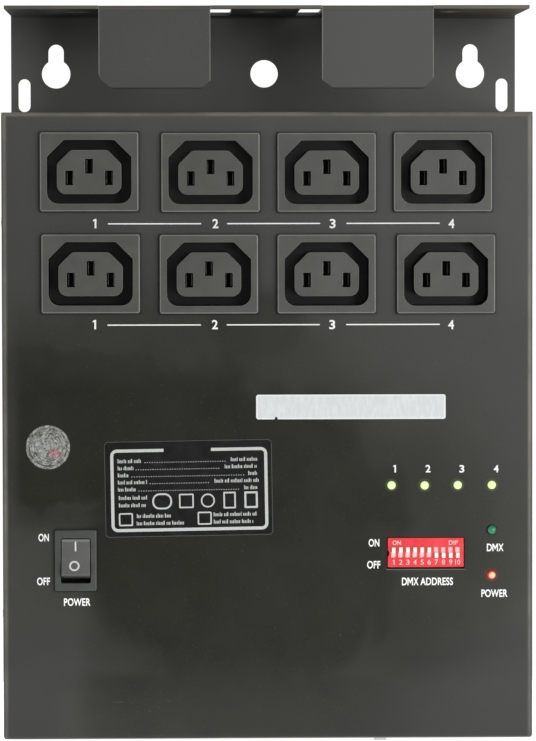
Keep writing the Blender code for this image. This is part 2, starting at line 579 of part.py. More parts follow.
# ---------------------------------------------------------------- data connectors on the bottom face
outer_level = -FLANGE_PROUD
plug_face = rounded(0, 0, 26.0, 31.0, 3.0, 3)
male = slab("dmx_in_socket", [plug_face], "Z", outer_level, -GAP)
join(male, rod("dmx_in_barrel", (0, 0), "Z", BARREL_R, -1.0, BARREL_D, 28))
cut(male, rod("dmx_in_well", (0, 0), "Z", 9.5, -4, 15.5, 24))
pin_places = [(4.2 * cos(radians(t)), 4.2 * sin(radians(t))) for t in (15, 165, 270)]
join(male, *[rod(f"dmx_in_pin_{k}", at, "Z", 1.2, 2.0, 17.0, 8) for k, at in enumerate(pin_places)])
finish(male, CONNECTOR_BLACK)
place(male, DMX_IN_X, CONNECTOR_Y, BOTTOM_Z)

female = slab("dmx_out_socket", [plug_face], "Z", outer_level, -GAP)
join(
    female,
    rod("dmx_out_barrel", (0, 0), "Z", BARREL_R, -1.0, BARREL_D, 28),
    box("latch_guide", (-3.5, 3.5), (-14.4, -8.0), (-1.0, 14.0)),
)
cut(
    female,
    slab("dmx_out_groove", [circle(0, 0, 9.6, 24), circle(0, 0, 7.8, 20)], "Z", -4, 14.0),
    slab("dmx_out_contacts", [circle(x, y, 1.5, 8) for x, y in pin_places], "Z", -4, 12.0),
    box("latch_way", (-2.5, 2.5), (-13.3, -10.6), (-4, 11.0)),
)
finish(female, CONNECTOR_BLACK)
place(female, DMX_OUT_X, CONNECTOR_Y, BOTTOM_Z)
latch = slab("dmx_out_latch", [[(-13.0, 8.0), (-13.0, -2.4), (-12.5, -3.5), (-11.4, -3.5), (-10.9, -2.4), (-10.9, 8.0)]], "X", -2.2, 2.2)
finish(latch, STEEL, smooth=False)
place(latch, DMX_OUT_X, CONNECTOR_Y, BOTTOM_Z)

# ---------------------------------------------------------------- mains inlet with fuse drawer and fuse
inlet_mid = sum(INLET_Y) / 2
inlet = slab("mains_inlet", [rounded(0, inlet_mid, 30.0, INLET_Y[1] - INLET_Y[0], 2.0, 3)], "Z", outer_level, -GAP)
join(inlet, box("inlet_body", (-13.7, 13.7), (INLET_Y[0] + 1.3, INLET_Y[1] - 1.3), (-1.0, 24.0)))
cut(
    inlet,
    slab("inlet_well", [appliance(0, APERTURE_Y, 24.6, 16.6, 4.6, 2.0)], "Z", -4, 16.0),
    box("drawer_way", (-12.5, 12.5), DRAWER_Y, (-4, 21.5)),
)
blades = ((-7.0, APERTURE_Y - 2.0), (7.0, APERTURE_Y - 2.0), (0.0, APERTURE_Y + 2.0))
join(inlet, *[box(f"inlet_blade_{k}", (bx - 1.0, bx + 1.0), (by - 2.0, by + 2.0), (1.5, 17.5)) for k, (bx, by) in enumerate(blades)])
finish(inlet, CONNECTOR_BLACK, smooth=False)
place(inlet, INLET_X, 0, BOTTOM_Z)

d0, d1 = DRAWER_Y[0] + GAP, DRAWER_Y[1] - GAP
drawer = box("fuse_drawer", (-12.2, 12.2), (d0, d1), (outer_level, 20.5))
cut(drawer, box("fuse_bed", (-10.7, 10.7), (d0 + 1.0, d1 - 1.0), (8.0, 22.0)), box("drawer_grip", (-4.0, 4.0), (d0 - 1, d0 + 2.0), (outer_level - 1, outer_level + 1.2)))
finish(drawer, CONNECTOR_BLACK, smooth=False)
place(drawer, INLET_X, 0, BOTTOM_Z)
fuse = turned("fuse", [(0, 10.0), (2.6, 10.0), (2.6, 4.6), (2.3, 4.4), (2.3, -4.4), (2.6, -4.6), (2.6, -10.0), (0, -10.0)], 16)
fuse.rotation_euler.y = radians(90)
finish(fuse, GLASS)
place(fuse, INLET_X, (d0 + d1) / 2, BOTTOM_Z + 14.0)

# ---------------------------------------------------------------- side screws: pan heads, cover to plate
screw = turned("screw", [(0, 2.5), (2.2, 2.3), (3.4, 1.6), (3.8, 0.6), (3.8, 0.2), (1.95, 0.2), (1.95, -7.4), (1.4, -8.0), (0, -8.0)], 16)
cut(screw, box("screw_slot_a", (-2.2, 2.2), (-0.45, 0.45), (1.3, 3.5)), box("screw_slot_b", (-0.45, 0.45), (-2.2, 2.2), (1.3, 3.5)))
screw_mesh = baked(screw, "side_screw")
screw_mesh.materials.append(STEEL)
screw_mesh.shade_smooth()
screw_mesh.set_sharp_from_angle(angle=radians(30))
count = 0
for side in (-1, 1):
    for z in SCREW_Z:
        count += 1
        made = bpy.data.objects.new(f"side_screw_{count}", screw_mesh)
        PARTS.objects.link(made)
        made.rotation_euler.y = side * radians(90)
        place(made, side * CASE_W / 2, SCREW_Y, z)

# ---------------------------------------------------------------- labels: thin films on the panel
label_levels = (-LABEL_GAP - LABEL_T, -LABEL_GAP)
title = slab("title_label", [rounded(0, 0, 67.2, 8.75, 0.8, 3)], "Y", *label_levels)
finish(title, WHITE_FILM, smooth=False)
place(title, 29.45, FRONT_Y, 6.85)
rating = slab("rating_label", [rounded(0, 0, 59.4, 34.0, 1.2, 3)], "Y", *label_levels)
finish(rating, BLACK_FILM, smooth=False)
place(rating, -28.1, FRONT_Y, -21.9)
rating.rotation_euler.y = radians(-0.9)
seal = slab("inspection_sticker", [circle(0, 0, 7.8, 32)], "Y", *label_levels)
finish(seal, SILVER_FILM, smooth=False)
place(seal, -77.85, FRONT_Y, -7.2)

# ---------------------------------------------------------------- the shapes that were baked leave no copy behind
for spare in (block, screw):
    bpy.data.objects.remove(spare, do_unlink=True)
used = {modifier.object for made in PARTS.objects for modifier in made.modifiers if modifier.type == "BOOLEAN"}
grown = True
while grown:
    more = {modifier.object for made in used for modifier in made.modifiers if modifier.type == "BOOLEAN"} - used
    grown = bool(more)
    used |= more
for helper in list(CUTTERS.objects):
    if helper not in used:
        bpy.data.objects.remove(helper, do_unlink=True)
    else:
        helper.hide_render = True
        helper.display_type = "WIRE"
bpy.context.view_layer.update()
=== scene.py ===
"""Looks of the four-channel lighting switch pack: fine surfaces, finishes, prints, light and camera.

Frame: metres, +Z up, the front faces -Y, the origin is on the back face of the mounting plate at the middle of the
case. Helper functions take millimetres.
"""

import json
from math import acos, asin, atan2, cos, degrees, hypot, pi, radians, sin, sqrt, tan

import bmesh
import bpy
from mathutils import Matrix, Vector

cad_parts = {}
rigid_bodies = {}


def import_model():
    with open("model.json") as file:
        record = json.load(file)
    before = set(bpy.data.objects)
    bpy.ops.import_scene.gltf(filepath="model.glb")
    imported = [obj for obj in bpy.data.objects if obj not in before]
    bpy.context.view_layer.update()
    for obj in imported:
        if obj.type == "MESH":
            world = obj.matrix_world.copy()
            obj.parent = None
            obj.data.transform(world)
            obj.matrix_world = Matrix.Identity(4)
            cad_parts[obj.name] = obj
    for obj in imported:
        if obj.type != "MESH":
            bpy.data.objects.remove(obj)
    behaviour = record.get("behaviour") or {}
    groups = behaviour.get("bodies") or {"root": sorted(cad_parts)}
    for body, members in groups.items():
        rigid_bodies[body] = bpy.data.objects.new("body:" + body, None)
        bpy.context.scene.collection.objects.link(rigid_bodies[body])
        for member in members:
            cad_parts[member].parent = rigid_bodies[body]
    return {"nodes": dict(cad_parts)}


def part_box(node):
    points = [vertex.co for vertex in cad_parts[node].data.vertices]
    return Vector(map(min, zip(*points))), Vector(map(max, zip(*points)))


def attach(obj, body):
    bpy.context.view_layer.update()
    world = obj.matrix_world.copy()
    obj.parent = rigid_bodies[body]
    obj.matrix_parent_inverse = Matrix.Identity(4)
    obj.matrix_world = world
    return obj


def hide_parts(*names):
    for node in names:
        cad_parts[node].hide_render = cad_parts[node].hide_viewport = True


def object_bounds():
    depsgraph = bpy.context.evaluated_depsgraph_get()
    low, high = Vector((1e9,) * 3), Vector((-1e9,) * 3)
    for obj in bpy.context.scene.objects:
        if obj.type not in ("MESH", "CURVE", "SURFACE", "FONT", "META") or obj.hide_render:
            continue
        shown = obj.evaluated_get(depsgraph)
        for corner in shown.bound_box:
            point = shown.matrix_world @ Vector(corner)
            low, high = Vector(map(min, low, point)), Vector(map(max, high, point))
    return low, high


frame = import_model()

CAD_BOX = [list(corner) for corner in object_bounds()]

MM = 0.001
scene = bpy.context.scene
scene.unit_settings.system = "METRIC"
scene.view_settings.view_transform = "Standard"
scene.view_settings.look = "None"
scene.view_settings.exposure = 0.0
scene.view_settings.gamma = 1.0

# ---------------------------------------------------------------- sizes, in millimetres
CASE_W, CASE_H, CASE_D = 188.0, 222.4, 69.6
COVER_T, COVER_R = 0.9, 1.8
FRONT = -CASE_D
BOTTOM = -CASE_H / 2
PLATE_T, PLATE_W = 1.2, 185.6
PLATE_BOTTOM = BOTTOM + COVER_T + 0.3
FLANGE_TOP, FOLD_R, REAR_R = 148.8, 2.2, 2.8
TABS = ((-59.5, -20.0), (19.4, 58.9))
TAB_BOTTOM = 119.3
OUTLETS = {
    "outlet_1a": (-62.9, 90.2), "outlet_2a": (-20.1, 89.9), "outlet_3a": (20.9, 89.85), "outlet_4a": (62.0, 89.95),
    "outlet_1b": (-62.5, 54.2), "outlet_2b": (-20.75, 54.0), "outlet_3b": (20.85, 54.0), "outlet_4b": (63.1, 53.9),
}
ROCKER_AT = (-68.15, -47.3)
DIP_AT = (55.96, -45.02)
LEDS = {
    "channel_led_1": (43.8, -21.0), "channel_led_2": (55.55, -21.1), "channel_led_3": (67.3, -21.0),
    "channel_led_4": (79.4, -21.0), "dmx_led": (79.4, -37.0), "power_led": (79.25, -53.0),
}
DMX_IN_X, DMX_OUT_X, INLET_X, CONNECTOR_Y = 72.5, 40.7, -52.0, -35.0
SCREW_Z, SCREW_Y = (72.0, -72.0), -8.0


# ---------------------------------------------------------------- outlines
def rect(x0, x1, y0, y1):
    return [(x0, y0), (x1, y0), (x1, y1), (x0, y1)]


def arc(cx, cy, r, a0, a1, n):
    return [(cx + r * cos(radians(a0 + (a1 - a0) * k / n)), cy + r * sin(radians(a0 + (a1 - a0) * k / n))) for k in range(n + 1)]


def circle(cx, cy, r, n=48):
    return [(cx + r * cos(2 * pi * k / n), cy + r * sin(2 * pi * k / n)) for k in range(n)]


def rounded(cx, cy, w, h, r, n=6):
    x0, x1, y0, y1 = cx - w / 2 + r, cx + w / 2 - r, cy - h / 2 + r, cy + h / 2 - r
    return arc(x1, y0, r, -90, 0, n) + arc(x1, y1, r, 0, 90, n) + arc(x0, y1, r, 90, 180, n) + arc(x0, y0, r, 180, 270, n)


def corner_arc(before, corner, after, r, n=4):
    """The rounded corner of a polygon: points on the arc of radius r that touches both sides."""
    p, a, b = Vector(corner), (Vector(before) - Vector(corner)).normalized(), (Vector(after) - Vector(corner)).normalized()
    half = acos(max(-1.0, min(1.0, a.dot(b)))) / 2
    reach = r / tan(half)
    start, end = p + a * reach, p + b * reach
    centre = p + (a + b).normalized() * (r / sin(half))
    a0, a1 = atan2(start.y - centre.y, start.x - centre.x), atan2(end.y - centre.y, end.x - centre.x)
    turn = (a1 - a0 + pi) % (2 * pi) - pi
    return [(centre.x + r * cos(a0 + turn * k / n), centre.y + r * sin(a0 + turn * k / n)) for k in range(n + 1)]


def filleted(corners, n=4):
    """A polygon of (x, y, radius) with each corner rounded by its own radius."""
    found = []
    for k, (x, y, r) in enumerate(corners):
        if r <= 0:
            found.append((x, y))
        else:
            found += corner_arc(corners[k - 1][:2], (x, y), corners[(k + 1) % len(corners)][:2], r, n)
    return found


def appliance(cx, cy, w, h, chamfer, r=2.0, soft=0.8, n=6):
    """The outline of a three-pole connector: two corners cut at 45 degrees with softened ends, the other two round."""
    x0, x1, y0, y1 = cx - w / 2, cx + w / 2, cy - h / 2, cy + h / 2
    return filleted(
        [(x1, y0, r), (x1, y1 - chamfer, soft), (x1 - chamfer, y1, soft), (x0 + chamfer, y1, soft), (x0, y1 - chamfer, soft), (x0, y0, r)], n
    )


# ---------------------------------------------------------------- mesh building
WORK = bpy.data.collections.new("work")
scene.collection.children.link(WORK)
TURN = {
    "Y": Matrix.Rotation(radians(90), 4, "X"),
    "Z": Matrix.Identity(4),
    "X": Matrix(((0, 0, 1, 0), (1, 0, 0, 0), (0, 1, 0, 0), (0, 0, 0, 1))),
}


def object_of(name, bm):
    mesh = bpy.data.meshes.new(name)
    bm.to_mesh(mesh)
    bm.free()
    made = bpy.data.objects.new(name, mesh)
    WORK.objects.link(made)
    return made


def evaluated_mesh(made):
    bpy.context.view_layer.update()
    graph = bpy.context.evaluated_depsgraph_get()
    return bpy.data.meshes.new_from_object(made.evaluated_get(graph))


def settle(made):
    """Replaces the object's mesh by what its modifiers make of it."""
    mesh = evaluated_mesh(made)
    old = made.data
    made.modifiers.clear()
    made.data = mesh
    if old.users == 0:
        bpy.data.meshes.remove(old)
    return made


def tidy(made, angle=0.4):
    """Joins coplanar faces, so that bevels run along the real edges only."""
    bm = bmesh.new()
    bm.from_mesh(made.data)
    bmesh.ops.remove_doubles(bm, verts=bm.verts, dist=2e-6)
    bmesh.ops.dissolve_limit(bm, angle_limit=radians(angle), use_dissolve_boundaries=False, verts=bm.verts, edges=bm.edges)
    bmesh.ops.recalc_face_normals(bm, faces=bm.faces)
    bm.to_mesh(made.data)
    bm.free()
    return made


def slab(name, loops, axis, low, high, rim_low=0.0, rim_high=0.0, segments=3):
    """A flat outline, with holes where loops lie inside loops, between two levels, with rounded rims."""
    curve = bpy.data.curves.new(name + "_outline", "CURVE")
    curve.dimensions = "2D"
    curve.fill_mode = "BOTH"
    curve.extrude = (high - low) / 2 * MM
    for loop in loops:
        spline = curve.splines.new("POLY")
        spline.points.add(len(loop) - 1)
        for point, (u, v) in zip(spline.points, loop):
            point.co = (u * MM, v * MM, 0, 1)
        spline.use_cyclic_u = True
    drawn = bpy.data.objects.new(name + "_curve", curve)
    scene.collection.objects.link(drawn)
    mesh = evaluated_mesh(drawn)
    bm = bmesh.new()
    bm.from_mesh(mesh)
    bpy.data.objects.remove(drawn, do_unlink=True)
    bpy.data.curves.remove(curve)
    bpy.data.meshes.remove(mesh)
    bmesh.ops.remove_doubles(bm, verts=bm.verts, dist=1e-6)
    bmesh.ops.dissolve_limit(bm, angle_limit=radians(0.3), use_dissolve_boundaries=False, verts=bm.verts, edges=bm.edges)
    half = (high - low) / 2 * MM
    for rim, level in ((rim_low, -half), (rim_high, half)):
        if rim <= 0:
            continue
        # TURN["Y"] maps the curve's +Z to -Y, so the low side along Y is the curve's high side
        want = -level if axis == "Y" else level
        edges = [
            edge for edge in bm.edges
            if all(abs(v.co.z - want) < 1e-7 for v in edge.verts) and len(edge.link_faces) == 2 and edge.calc_face_angle(0) > radians(60)
        ]
        bmesh.ops.bevel(bm, geom=edges, offset=rim * MM, segments=segments, profile=0.5, affect="EDGES", clamp_overlap=True)
    middle = (high + low) / 2 * MM
    shift = {"X": Vector((middle, 0, 0)), "Y": Vector((0, middle, 0)), "Z": Vector((0, 0, middle))}[axis]
    bmesh.ops.transform(bm, matrix=Matrix.Translation(shift) @ TURN[axis], verts=bm.verts)
    bmesh.ops.recalc_face_normals(bm, faces=bm.faces)
    return object_of(name, bm)


def box(name, x, y, z, rim=0.0, segments=2):
    bm = bmesh.new()
    size = Matrix.Diagonal(((x[1] - x[0]) * MM, (y[1] - y[0]) * MM, (z[1] - z[0]) * MM, 1))
    bmesh.ops.create_cube(bm, size=1.0, matrix=Matrix.Translation(Vector((sum(x), sum(y), sum(z))) * MM / 2) @ size)
    if rim > 0:
        bmesh.ops.bevel(bm, geom=bm.edges[:], offset=rim * MM, segments=segments, profile=0.5, affect="EDGES", clamp_overlap=True)
    return object_of(name, bm)


def turned(name, profile, n=48, axis="Z", at=(0, 0, 0)):
    """A profile of (radius, height) pairs turned about an axis through (at). Ends at radius 0 close it."""
    bm = bmesh.new()
    rings = []
    for r, h in profile:
        if r < 1e-9:
            rings.append([bm.verts.new((0, 0, h * MM))])
        else:
            rings.append([bm.verts.new((r * cos(2 * pi * k / n) * MM, r * sin(2 * pi * k / n) * MM, h * MM)) for k in range(n)])
    for a, b in zip(rings, rings[1:]):
        for k in range(n):
            j = (k + 1) % n
            if len(a) == 1 and len(b) == 1:
                continue
            if len(a) == 1:
                bm.faces.new((a[0], b[k], b[j]))
            elif len(b) == 1:
                bm.faces.new((a[k], b[0], a[j]))
            else:
                bm.faces.new((a[k], b[k], b[j], a[j]))
    turn = {"Z": Matrix.Identity(4), "-Y": Matrix.Rotation(radians(90), 4, "X"), "X": Matrix.Rotation(radians(90), 4, "Y"), "-X": Matrix.Rotation(radians(-90), 4, "Y"), "-Z": Matrix.Rotation(radians(180), 4, "X")}[axis]
    bmesh.ops.transform(bm, matrix=Matrix.Translation(Vector(at) * MM) @ turn, verts=bm.verts)
    bmesh.ops.recalc_face_normals(bm, faces=bm.faces)
    return object_of(name, bm)


def boolean(target, others, operation):
    for other in others:
        modifier = target.modifiers.new("b", "BOOLEAN")
        modifier.operation = operation
        modifier.object = other
        modifier.solver = "EXACT"
        settle(target)
        bpy.data.objects.remove(other, do_unlink=True)
    return target


def cut(target, *others):
    return boolean(target, others, "DIFFERENCE")


def join(target, *others):
    return boolean(target, others, "UNION")


def common(target, *others):
    return boolean(target, others, "INTERSECT")


def merge(name, parts):
    """Several separate bodies as one object, each keeping its own material."""
    bm = bmesh.new()
    skins = []
    for part in parts:
        before = len(bm.faces)
        indices = []
        for skin in part.data.materials:
            if skin not in skins:
                skins.append(skin)
            indices.append(skins.index(skin))
        mesh = part.data.copy()
        mesh.transform(part.matrix_basis)
        bm.from_mesh(mesh)
        bpy.data.meshes.remove(mesh)
        bm.faces.ensure_lookup_table()
        for face in bm.faces[before:]:
            face.material_index = indices[face.material_index] if indices else 0
    made = object_of(name, bm)
    for skin in skins:
        made.data.materials.append(skin)
    for part in parts:
        bpy.data.objects.remove(part, do_unlink=True)
    return made


def soften(made, width, segments=2, angle=35.0, clean=True):
    """Small rounded rims on every sharp edge."""
    if clean:
        tidy(made)
    bevel = made.modifiers.new("rims", "BEVEL")
    bevel.width = width * MM
    bevel.segments = segments
    bevel.limit_method = "ANGLE"
    bevel.angle_limit = radians(angle)
    bevel.miter_outer = "MITER_SHARP"
    bevel.use_clamp_overlap = True
    settle(made)
    return made


def shade(made, angle=38.0):
    made.data.shade_smooth()
    made.data.set_sharp_from_angle(angle=radians(angle))
    weighted = made.modifiers.new("normals", "WEIGHTED_NORMAL")
    weighted.keep_sharp = True
    weighted.mode = "FACE_AREA"
    weighted.weight = 50
    return settle(made)


def dress(made, body, skin=None, replaces=(), smooth=True, angle=38.0):
    """Gives a piece its material, shading and body, and hides the parts it replaces."""
    if skin is not None:
        made.data.materials.clear()
        made.data.materials.append(skin)
    if smooth and made.type == "MESH":
        shade(made, angle)
    for collection in list(made.users_collection):
        collection.objects.unlink(made)
    scene.collection.objects.link(made)
    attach(made, body)
    if replaces:
        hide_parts(*replaces)
    return made


def moved(made, x=0.0, y=0.0, z=0.0, turn=None):
    """Moves the mesh itself, so that the object's own coordinates stay the frame's."""
    matrix = Matrix.Translation(Vector((x, y, z)) * MM)
    if turn is not None:
        matrix = matrix @ turn
    made.data.transform(matrix)
    made.data.update()
    return made


# ---------------------------------------------------------------- materials
def linear(r, g, b):
    """Linear colour of an sRGB triple given 0..255."""
    return tuple(c / 12.92 if c <= 0.04045 else ((c + 0.055) / 1.055) ** 2.4 for c in (r / 255, g / 255, b / 255))


class Skin:
    """A node material: a Principled shader and short calls that add the nodes in front of it."""

    def __init__(self, name, colour, roughness, metallic=0.0, **sockets):
        self.material = bpy.data.materials.new(name)
        self.material.use_nodes = True
        self.tree = self.material.node_tree
        self.shader = self.tree.nodes["Principled BSDF"]
        self.shader.inputs["Base Color"].default_value = (*colour, 1)
        self.shader.inputs["Roughness"].default_value = roughness
        self.shader.inputs["Metallic"].default_value = metallic
        for key, value in sockets.items():
            self.shader.inputs[key.replace("_", " ")].default_value = value
        self.material.diffuse_color = (*colour, 1)
        self.place = self.node("ShaderNodeTexCoord").outputs["Object"]

    def node(self, kind, **settings):
        made = self.tree.nodes.new(kind)
        for key, value in settings.items():
            setattr(made, key, value)
        return made

    def link(self, source, target):
        self.tree.links.new(source, target)

    def feed(self, socket, source):
        if isinstance(source, (int, float)):
            socket.default_value = source
        elif isinstance(source, tuple):
            socket.default_value = source if len(source) == 4 or socket.type == "VECTOR" else (*source, 1)
        else:
            self.link(source, socket)

    def noise(self, scale, detail=2.0, roughness=0.5, distortion=0.0, at=None, kind="FBM"):
        made = self.node("ShaderNodeTexNoise")
        made.inputs["Scale"].default_value = scale
        made.inputs["Detail"].default_value = detail
        made.inputs["Roughness"].default_value = roughness
        made.inputs["Distortion"].default_value = distortion
        self.link(at or self.place, made.inputs["Vector"])
        return made.outputs["Fac"]

    def cells(self, scale, feature="F1", at=None, randomness=1.0, output="Distance"):
        made = self.node("ShaderNodeTexVoronoi", feature=feature)
        made.inputs["Scale"].default_value = scale
        made.inputs["Randomness"].default_value = randomness
        self.link(at or self.place, made.inputs["Vector"])
        return made.outputs[output]

    def ramp(self, source, low, high, to_low=0.0, to_high=1.0, smooth=True):
        made = self.node("ShaderNodeMapRange")
        if smooth:
            made.interpolation_type = "SMOOTHSTEP"
        for socket, value in zip(("From Min", "From Max", "To Min", "To Max"), (low, high, to_low, to_high)):
            made.inputs[socket].default_value = value
        self.link(source, made.inputs["Value"])
        return made.outputs["Result"]

    def math(self, operation, a, b=0.0, c=None, clamp=False):
        made = self.node("ShaderNodeMath", operation=operation, use_clamp=clamp)
        self.feed(made.inputs[0], a)
        self.feed(made.inputs[1], b)
        if c is not None:
            self.feed(made.inputs[2], c)
        return made.outputs[0]

    def mix(self, amount, a, b, blend="MIX"):
        made = self.node("ShaderNodeMix", data_type="RGBA", blend_type=blend)
        self.feed(made.inputs[0], amount)
        self.feed(made.inputs[6], a)
        self.feed(made.inputs[7], b)
        return made.outputs[2]

    def xyz(self, at=None):
        made = self.node("ShaderNodeSeparateXYZ")
        self.link(at or self.place, made.inputs[0])
        return made.outputs[0], made.outputs[1], made.outputs[2]

    def stretched(self, scale=(1, 1, 1), location=(0, 0, 0), rotation=(0, 0, 0)):
        made = self.node("ShaderNodeMapping")
        made.inputs["Scale"].default_value = scale
        made.inputs["Location"].default_value = location
        made.inputs["Rotation"].default_value = rotation
        self.link(self.place, made.inputs["Vector"])
        return made.outputs[0]

    def oval(self, cx, cz, rx, rz):
        """How far a point is from an oval's middle in the front view, as a share of its radii. Sizes in millimetres."""
        x, _, z = self.xyz()
        u = self.math("MULTIPLY_ADD", x, 1000.0 / rx, -cx / rx)
        v = self.math("MULTIPLY_ADD", z, 1000.0 / rz, -cz / rz)
        return self.math("SQRT", self.math("ADD", self.math("MULTIPLY", u, u), self.math("MULTIPLY", v, v)))

    def bump(self, height, depth, strength=1.0, after=None):
        """Height 0..1 becomes relief of this depth in millimetres."""
        made = self.node("ShaderNodeBump")
        made.inputs["Strength"].default_value = strength
        made.inputs["Distance"].default_value = depth * MM
        self.link(height, made.inputs["Height"])
        if after is not None:
            self.link(after, made.inputs["Normal"])
        self.link(made.outputs[0], self.shader.inputs["Normal"])
        return made.outputs[0]

    def colour(self, source):
        self.feed(self.shader.inputs["Base Color"], source)

    def rough(self, source):
        self.feed(self.shader.inputs["Roughness"], source)


def powder_coat(name, dark, light, rough=(0.4, 0.5), case=True):
    """Fine-textured black powder coat on folded sheet: orange peel, slight waves, handling marks, worn bends with a
    painted highlight, and painted light and shade in places.
    """
    skin = Skin(name, dark, sum(rough) / 2)
    broad = skin.noise(14, 3, 0.5)
    blotch = skin.noise(55, 4, 0.6, 0.4)
    dust = skin.noise(1500, 2, 0.5)
    tone = skin.mix(skin.ramp(broad, 0.35, 0.68), dark, light)
    tone = skin.mix(skin.ramp(blotch, 0.62, 0.8, 0, 0.3), tone, tuple(c * 1.35 for c in light))
    smudge = skin.noise(32, 4, 0.62, 0.8)
    gloss = skin.ramp(smudge, 0.3, 0.72, rough[0], rough[1], smooth=False)
    if case:
        # painted reflection: the middle and lower left of the front are made glossier and painted darker, standing in
        # for the dark room they reflect
        drift = skin.math("ADD", skin.math("MULTIPLY", skin.noise(15, 4, 0.58, 0.9), 0.9), skin.math("MULTIPLY", skin.noise(1, 3, 0.6, 0.5, skin.stretched((60, 60, 17), rotation=(0, radians(-42), 0))), 0.45))
        main = skin.math("ADD", skin.oval(-8.0, -39.0, 60, 69), skin.math("ADD", drift, -0.675))
        wing = skin.math("ADD", skin.oval(-72.0, 1.0, 64, 32), skin.math("ADD", drift, -0.675))
        halo = skin.math("ADD", skin.oval(0.9, -48.0, 80, 67), skin.math("MULTIPLY_ADD", drift, 0.5, -0.34))
        upper = skin.math("ADD", skin.oval(-38.0, 0.0, 86, 47), skin.math("MULTIPLY_ADD", drift, 0.4, -0.27))
        crown = skin.math("ADD", skin.oval(-4.0, 36.0, 24, 16), skin.math("MULTIPLY_ADD", drift, 0.6, -0.4))
        heel = skin.math("ADD", skin.oval(-42.0, -52.0, 28, 36), skin.math("MULTIPLY_ADD", drift, 0.5, -0.34))
        core = skin.math("MAXIMUM", skin.math("MAXIMUM", skin.ramp(main, 1.22, 0.78), skin.ramp(wing, 1.15, 0.8)), skin.ramp(heel, 1.4, 0.6))
        soft = skin.math("MAXIMUM", skin.math("MULTIPLY", skin.ramp(halo, 1.35, 0.75), 0.75), skin.math("MULTIPLY", skin.ramp(upper, 1.3, 0.75), 0.72))
        x, y, z = skin.xyz()
        heelside = skin.math("MULTIPLY", skin.ramp(z, -0.078, -0.092), skin.math("MULTIPLY", skin.ramp(x, -0.092, -0.05), skin.ramp(x, 0.078, 0.025)))
        soft = skin.math("MAXIMUM", soft, skin.math("MAXIMUM", heelside, skin.math("MULTIPLY", skin.ramp(crown, 1.2, 0.6), 0.85)))
        reflection_and_gloss = skin.math("MULTIPLY", skin.math("MAXIMUM", core, soft), skin.ramp(x, -0.0915, -0.0865, 0.5, 1.0))
        reflection_and_gloss = skin.math("MULTIPLY", reflection_and_gloss, skin.ramp(z, 0.010, 0.024, 1.0, 0.8))
        beside = skin.math("MULTIPLY", skin.ramp(x, -0.060, -0.072), skin.ramp(z, -0.031, -0.040))
        reflection_and_gloss = skin.math("MULTIPLY", reflection_and_gloss, skin.ramp(beside, 0.0, 1.0, 1.0, 0.35, smooth=False))
        # painted sheen: the coat's upper and right part is painted paler, standing in for the key light's reflection
        high = skin.ramp(z, 0.035, 0.108, 0.0, 0.72, smooth=False)
        right = skin.math("MULTIPLY", skin.ramp(x, -0.005, 0.085, 0.0, 0.5), skin.ramp(z, 0.03, 0.055))
        painted_sheen = skin.math("MULTIPLY", skin.math("ADD", high, right, clamp=True), skin.ramp(skin.noise(45, 4, 0.6), 0.3, 0.7, 0.85, 1.0))
        tone = skin.mix(painted_sheen, tone, tuple(c + 0.021 for c in light))
        tone = skin.mix(reflection_and_gloss, tone, skin.mix(skin.ramp(blotch, 0.3, 0.7), PAINTED_REFLECTION_DARK, PAINTED_REFLECTION_LIGHT))
        gloss = skin.math("ADD", skin.math("MULTIPLY", gloss, skin.ramp(reflection_and_gloss, 0.0, 1.0, 1.0, 0.0, smooth=False)), skin.math("MULTIPLY", reflection_and_gloss, skin.ramp(smudge, 0.3, 0.72, 0.25, 0.31, smooth=False)))
    tone = skin.mix(skin.ramp(dust, 0.66, 0.75, 0, 0.3), tone, tuple(min(1.0, c * 2.4 + 0.008) for c in light))
    if case:
        # painted contact shadow: the coat is painted dark in a thin band round each set-in piece
        nearest = None
        for cx, cz_, half_w, half_h in [(cx, cz_, 17.4, 13.95) for cx, cz_ in OUTLETS.values()] + [(*ROCKER_AT, 7.42, 10.8)]:
            reach = skin.math("MAXIMUM", skin.math("ABSOLUTE", skin.math("ADD", x, -cx * MM)), skin.math("ADD", skin.math("ABSOLUTE", skin.math("ADD", z, -cz_ * MM)), (half_w - half_h) * MM))
            reach = skin.math("ADD", reach, -half_w * MM)
            nearest = reach if nearest is None else skin.math("MINIMUM", nearest, reach)
        tone = skin.mix(skin.ramp(nearest, 0.0009, 0.0001, 0.0, 0.8), tone, linear(9, 9, 8))
        # painted highlight: the lower rim of the address switch's opening is painted pale, and a faint rubbed-off mark
        # is left beside the lamps
        along = skin.ramp(skin.math("ABSOLUTE", skin.math("ADD", x, -0.05596)), 0.0142, 0.0138)
        lip = skin.math("MULTIPLY", along, skin.math("MULTIPLY", skin.ramp(z, -0.0513, -0.05112), skin.ramp(z, -0.05082, -0.05092)))
        tone = skin.mix(skin.math("MULTIPLY", lip, 0.85), tone, linear(104, 105, 100))
        spot = skin.math("MULTIPLY", skin.ramp(skin.math("ABSOLUTE", skin.math("ADD", x, -0.0786)), 0.0030, 0.0022), skin.ramp(skin.math("ABSOLUTE", skin.math("ADD", z, 0.0269)), 0.00055, 0.00025))
        tone = skin.mix(skin.math("MULTIPLY", spot, 0.4), tone, linear(24, 24, 22))
        # painted shade: the coat is painted a little darker towards the lower edge, but for a patch right of the left
        # corner
        spared = skin.math("MULTIPLY", skin.ramp(z, -0.089, -0.098), skin.math("MULTIPLY", skin.ramp(x, -0.078, -0.068), skin.ramp(x, -0.015, -0.035)))
        lower = skin.math("MULTIPLY", skin.ramp(z, -0.064, -0.082), skin.ramp(spared, 0.0, 1.0, 1.0, 0.1, smooth=False))
        tone = skin.mix(lower, tone, (0.74, 0.74, 0.74), "MULTIPLY")
        corner = skin.math("MULTIPLY", skin.ramp(x, 0.030, 0.046), skin.ramp(z, -0.088, -0.100))
        tone = skin.mix(corner, tone, (0.84, 0.84, 0.84), "MULTIPLY")
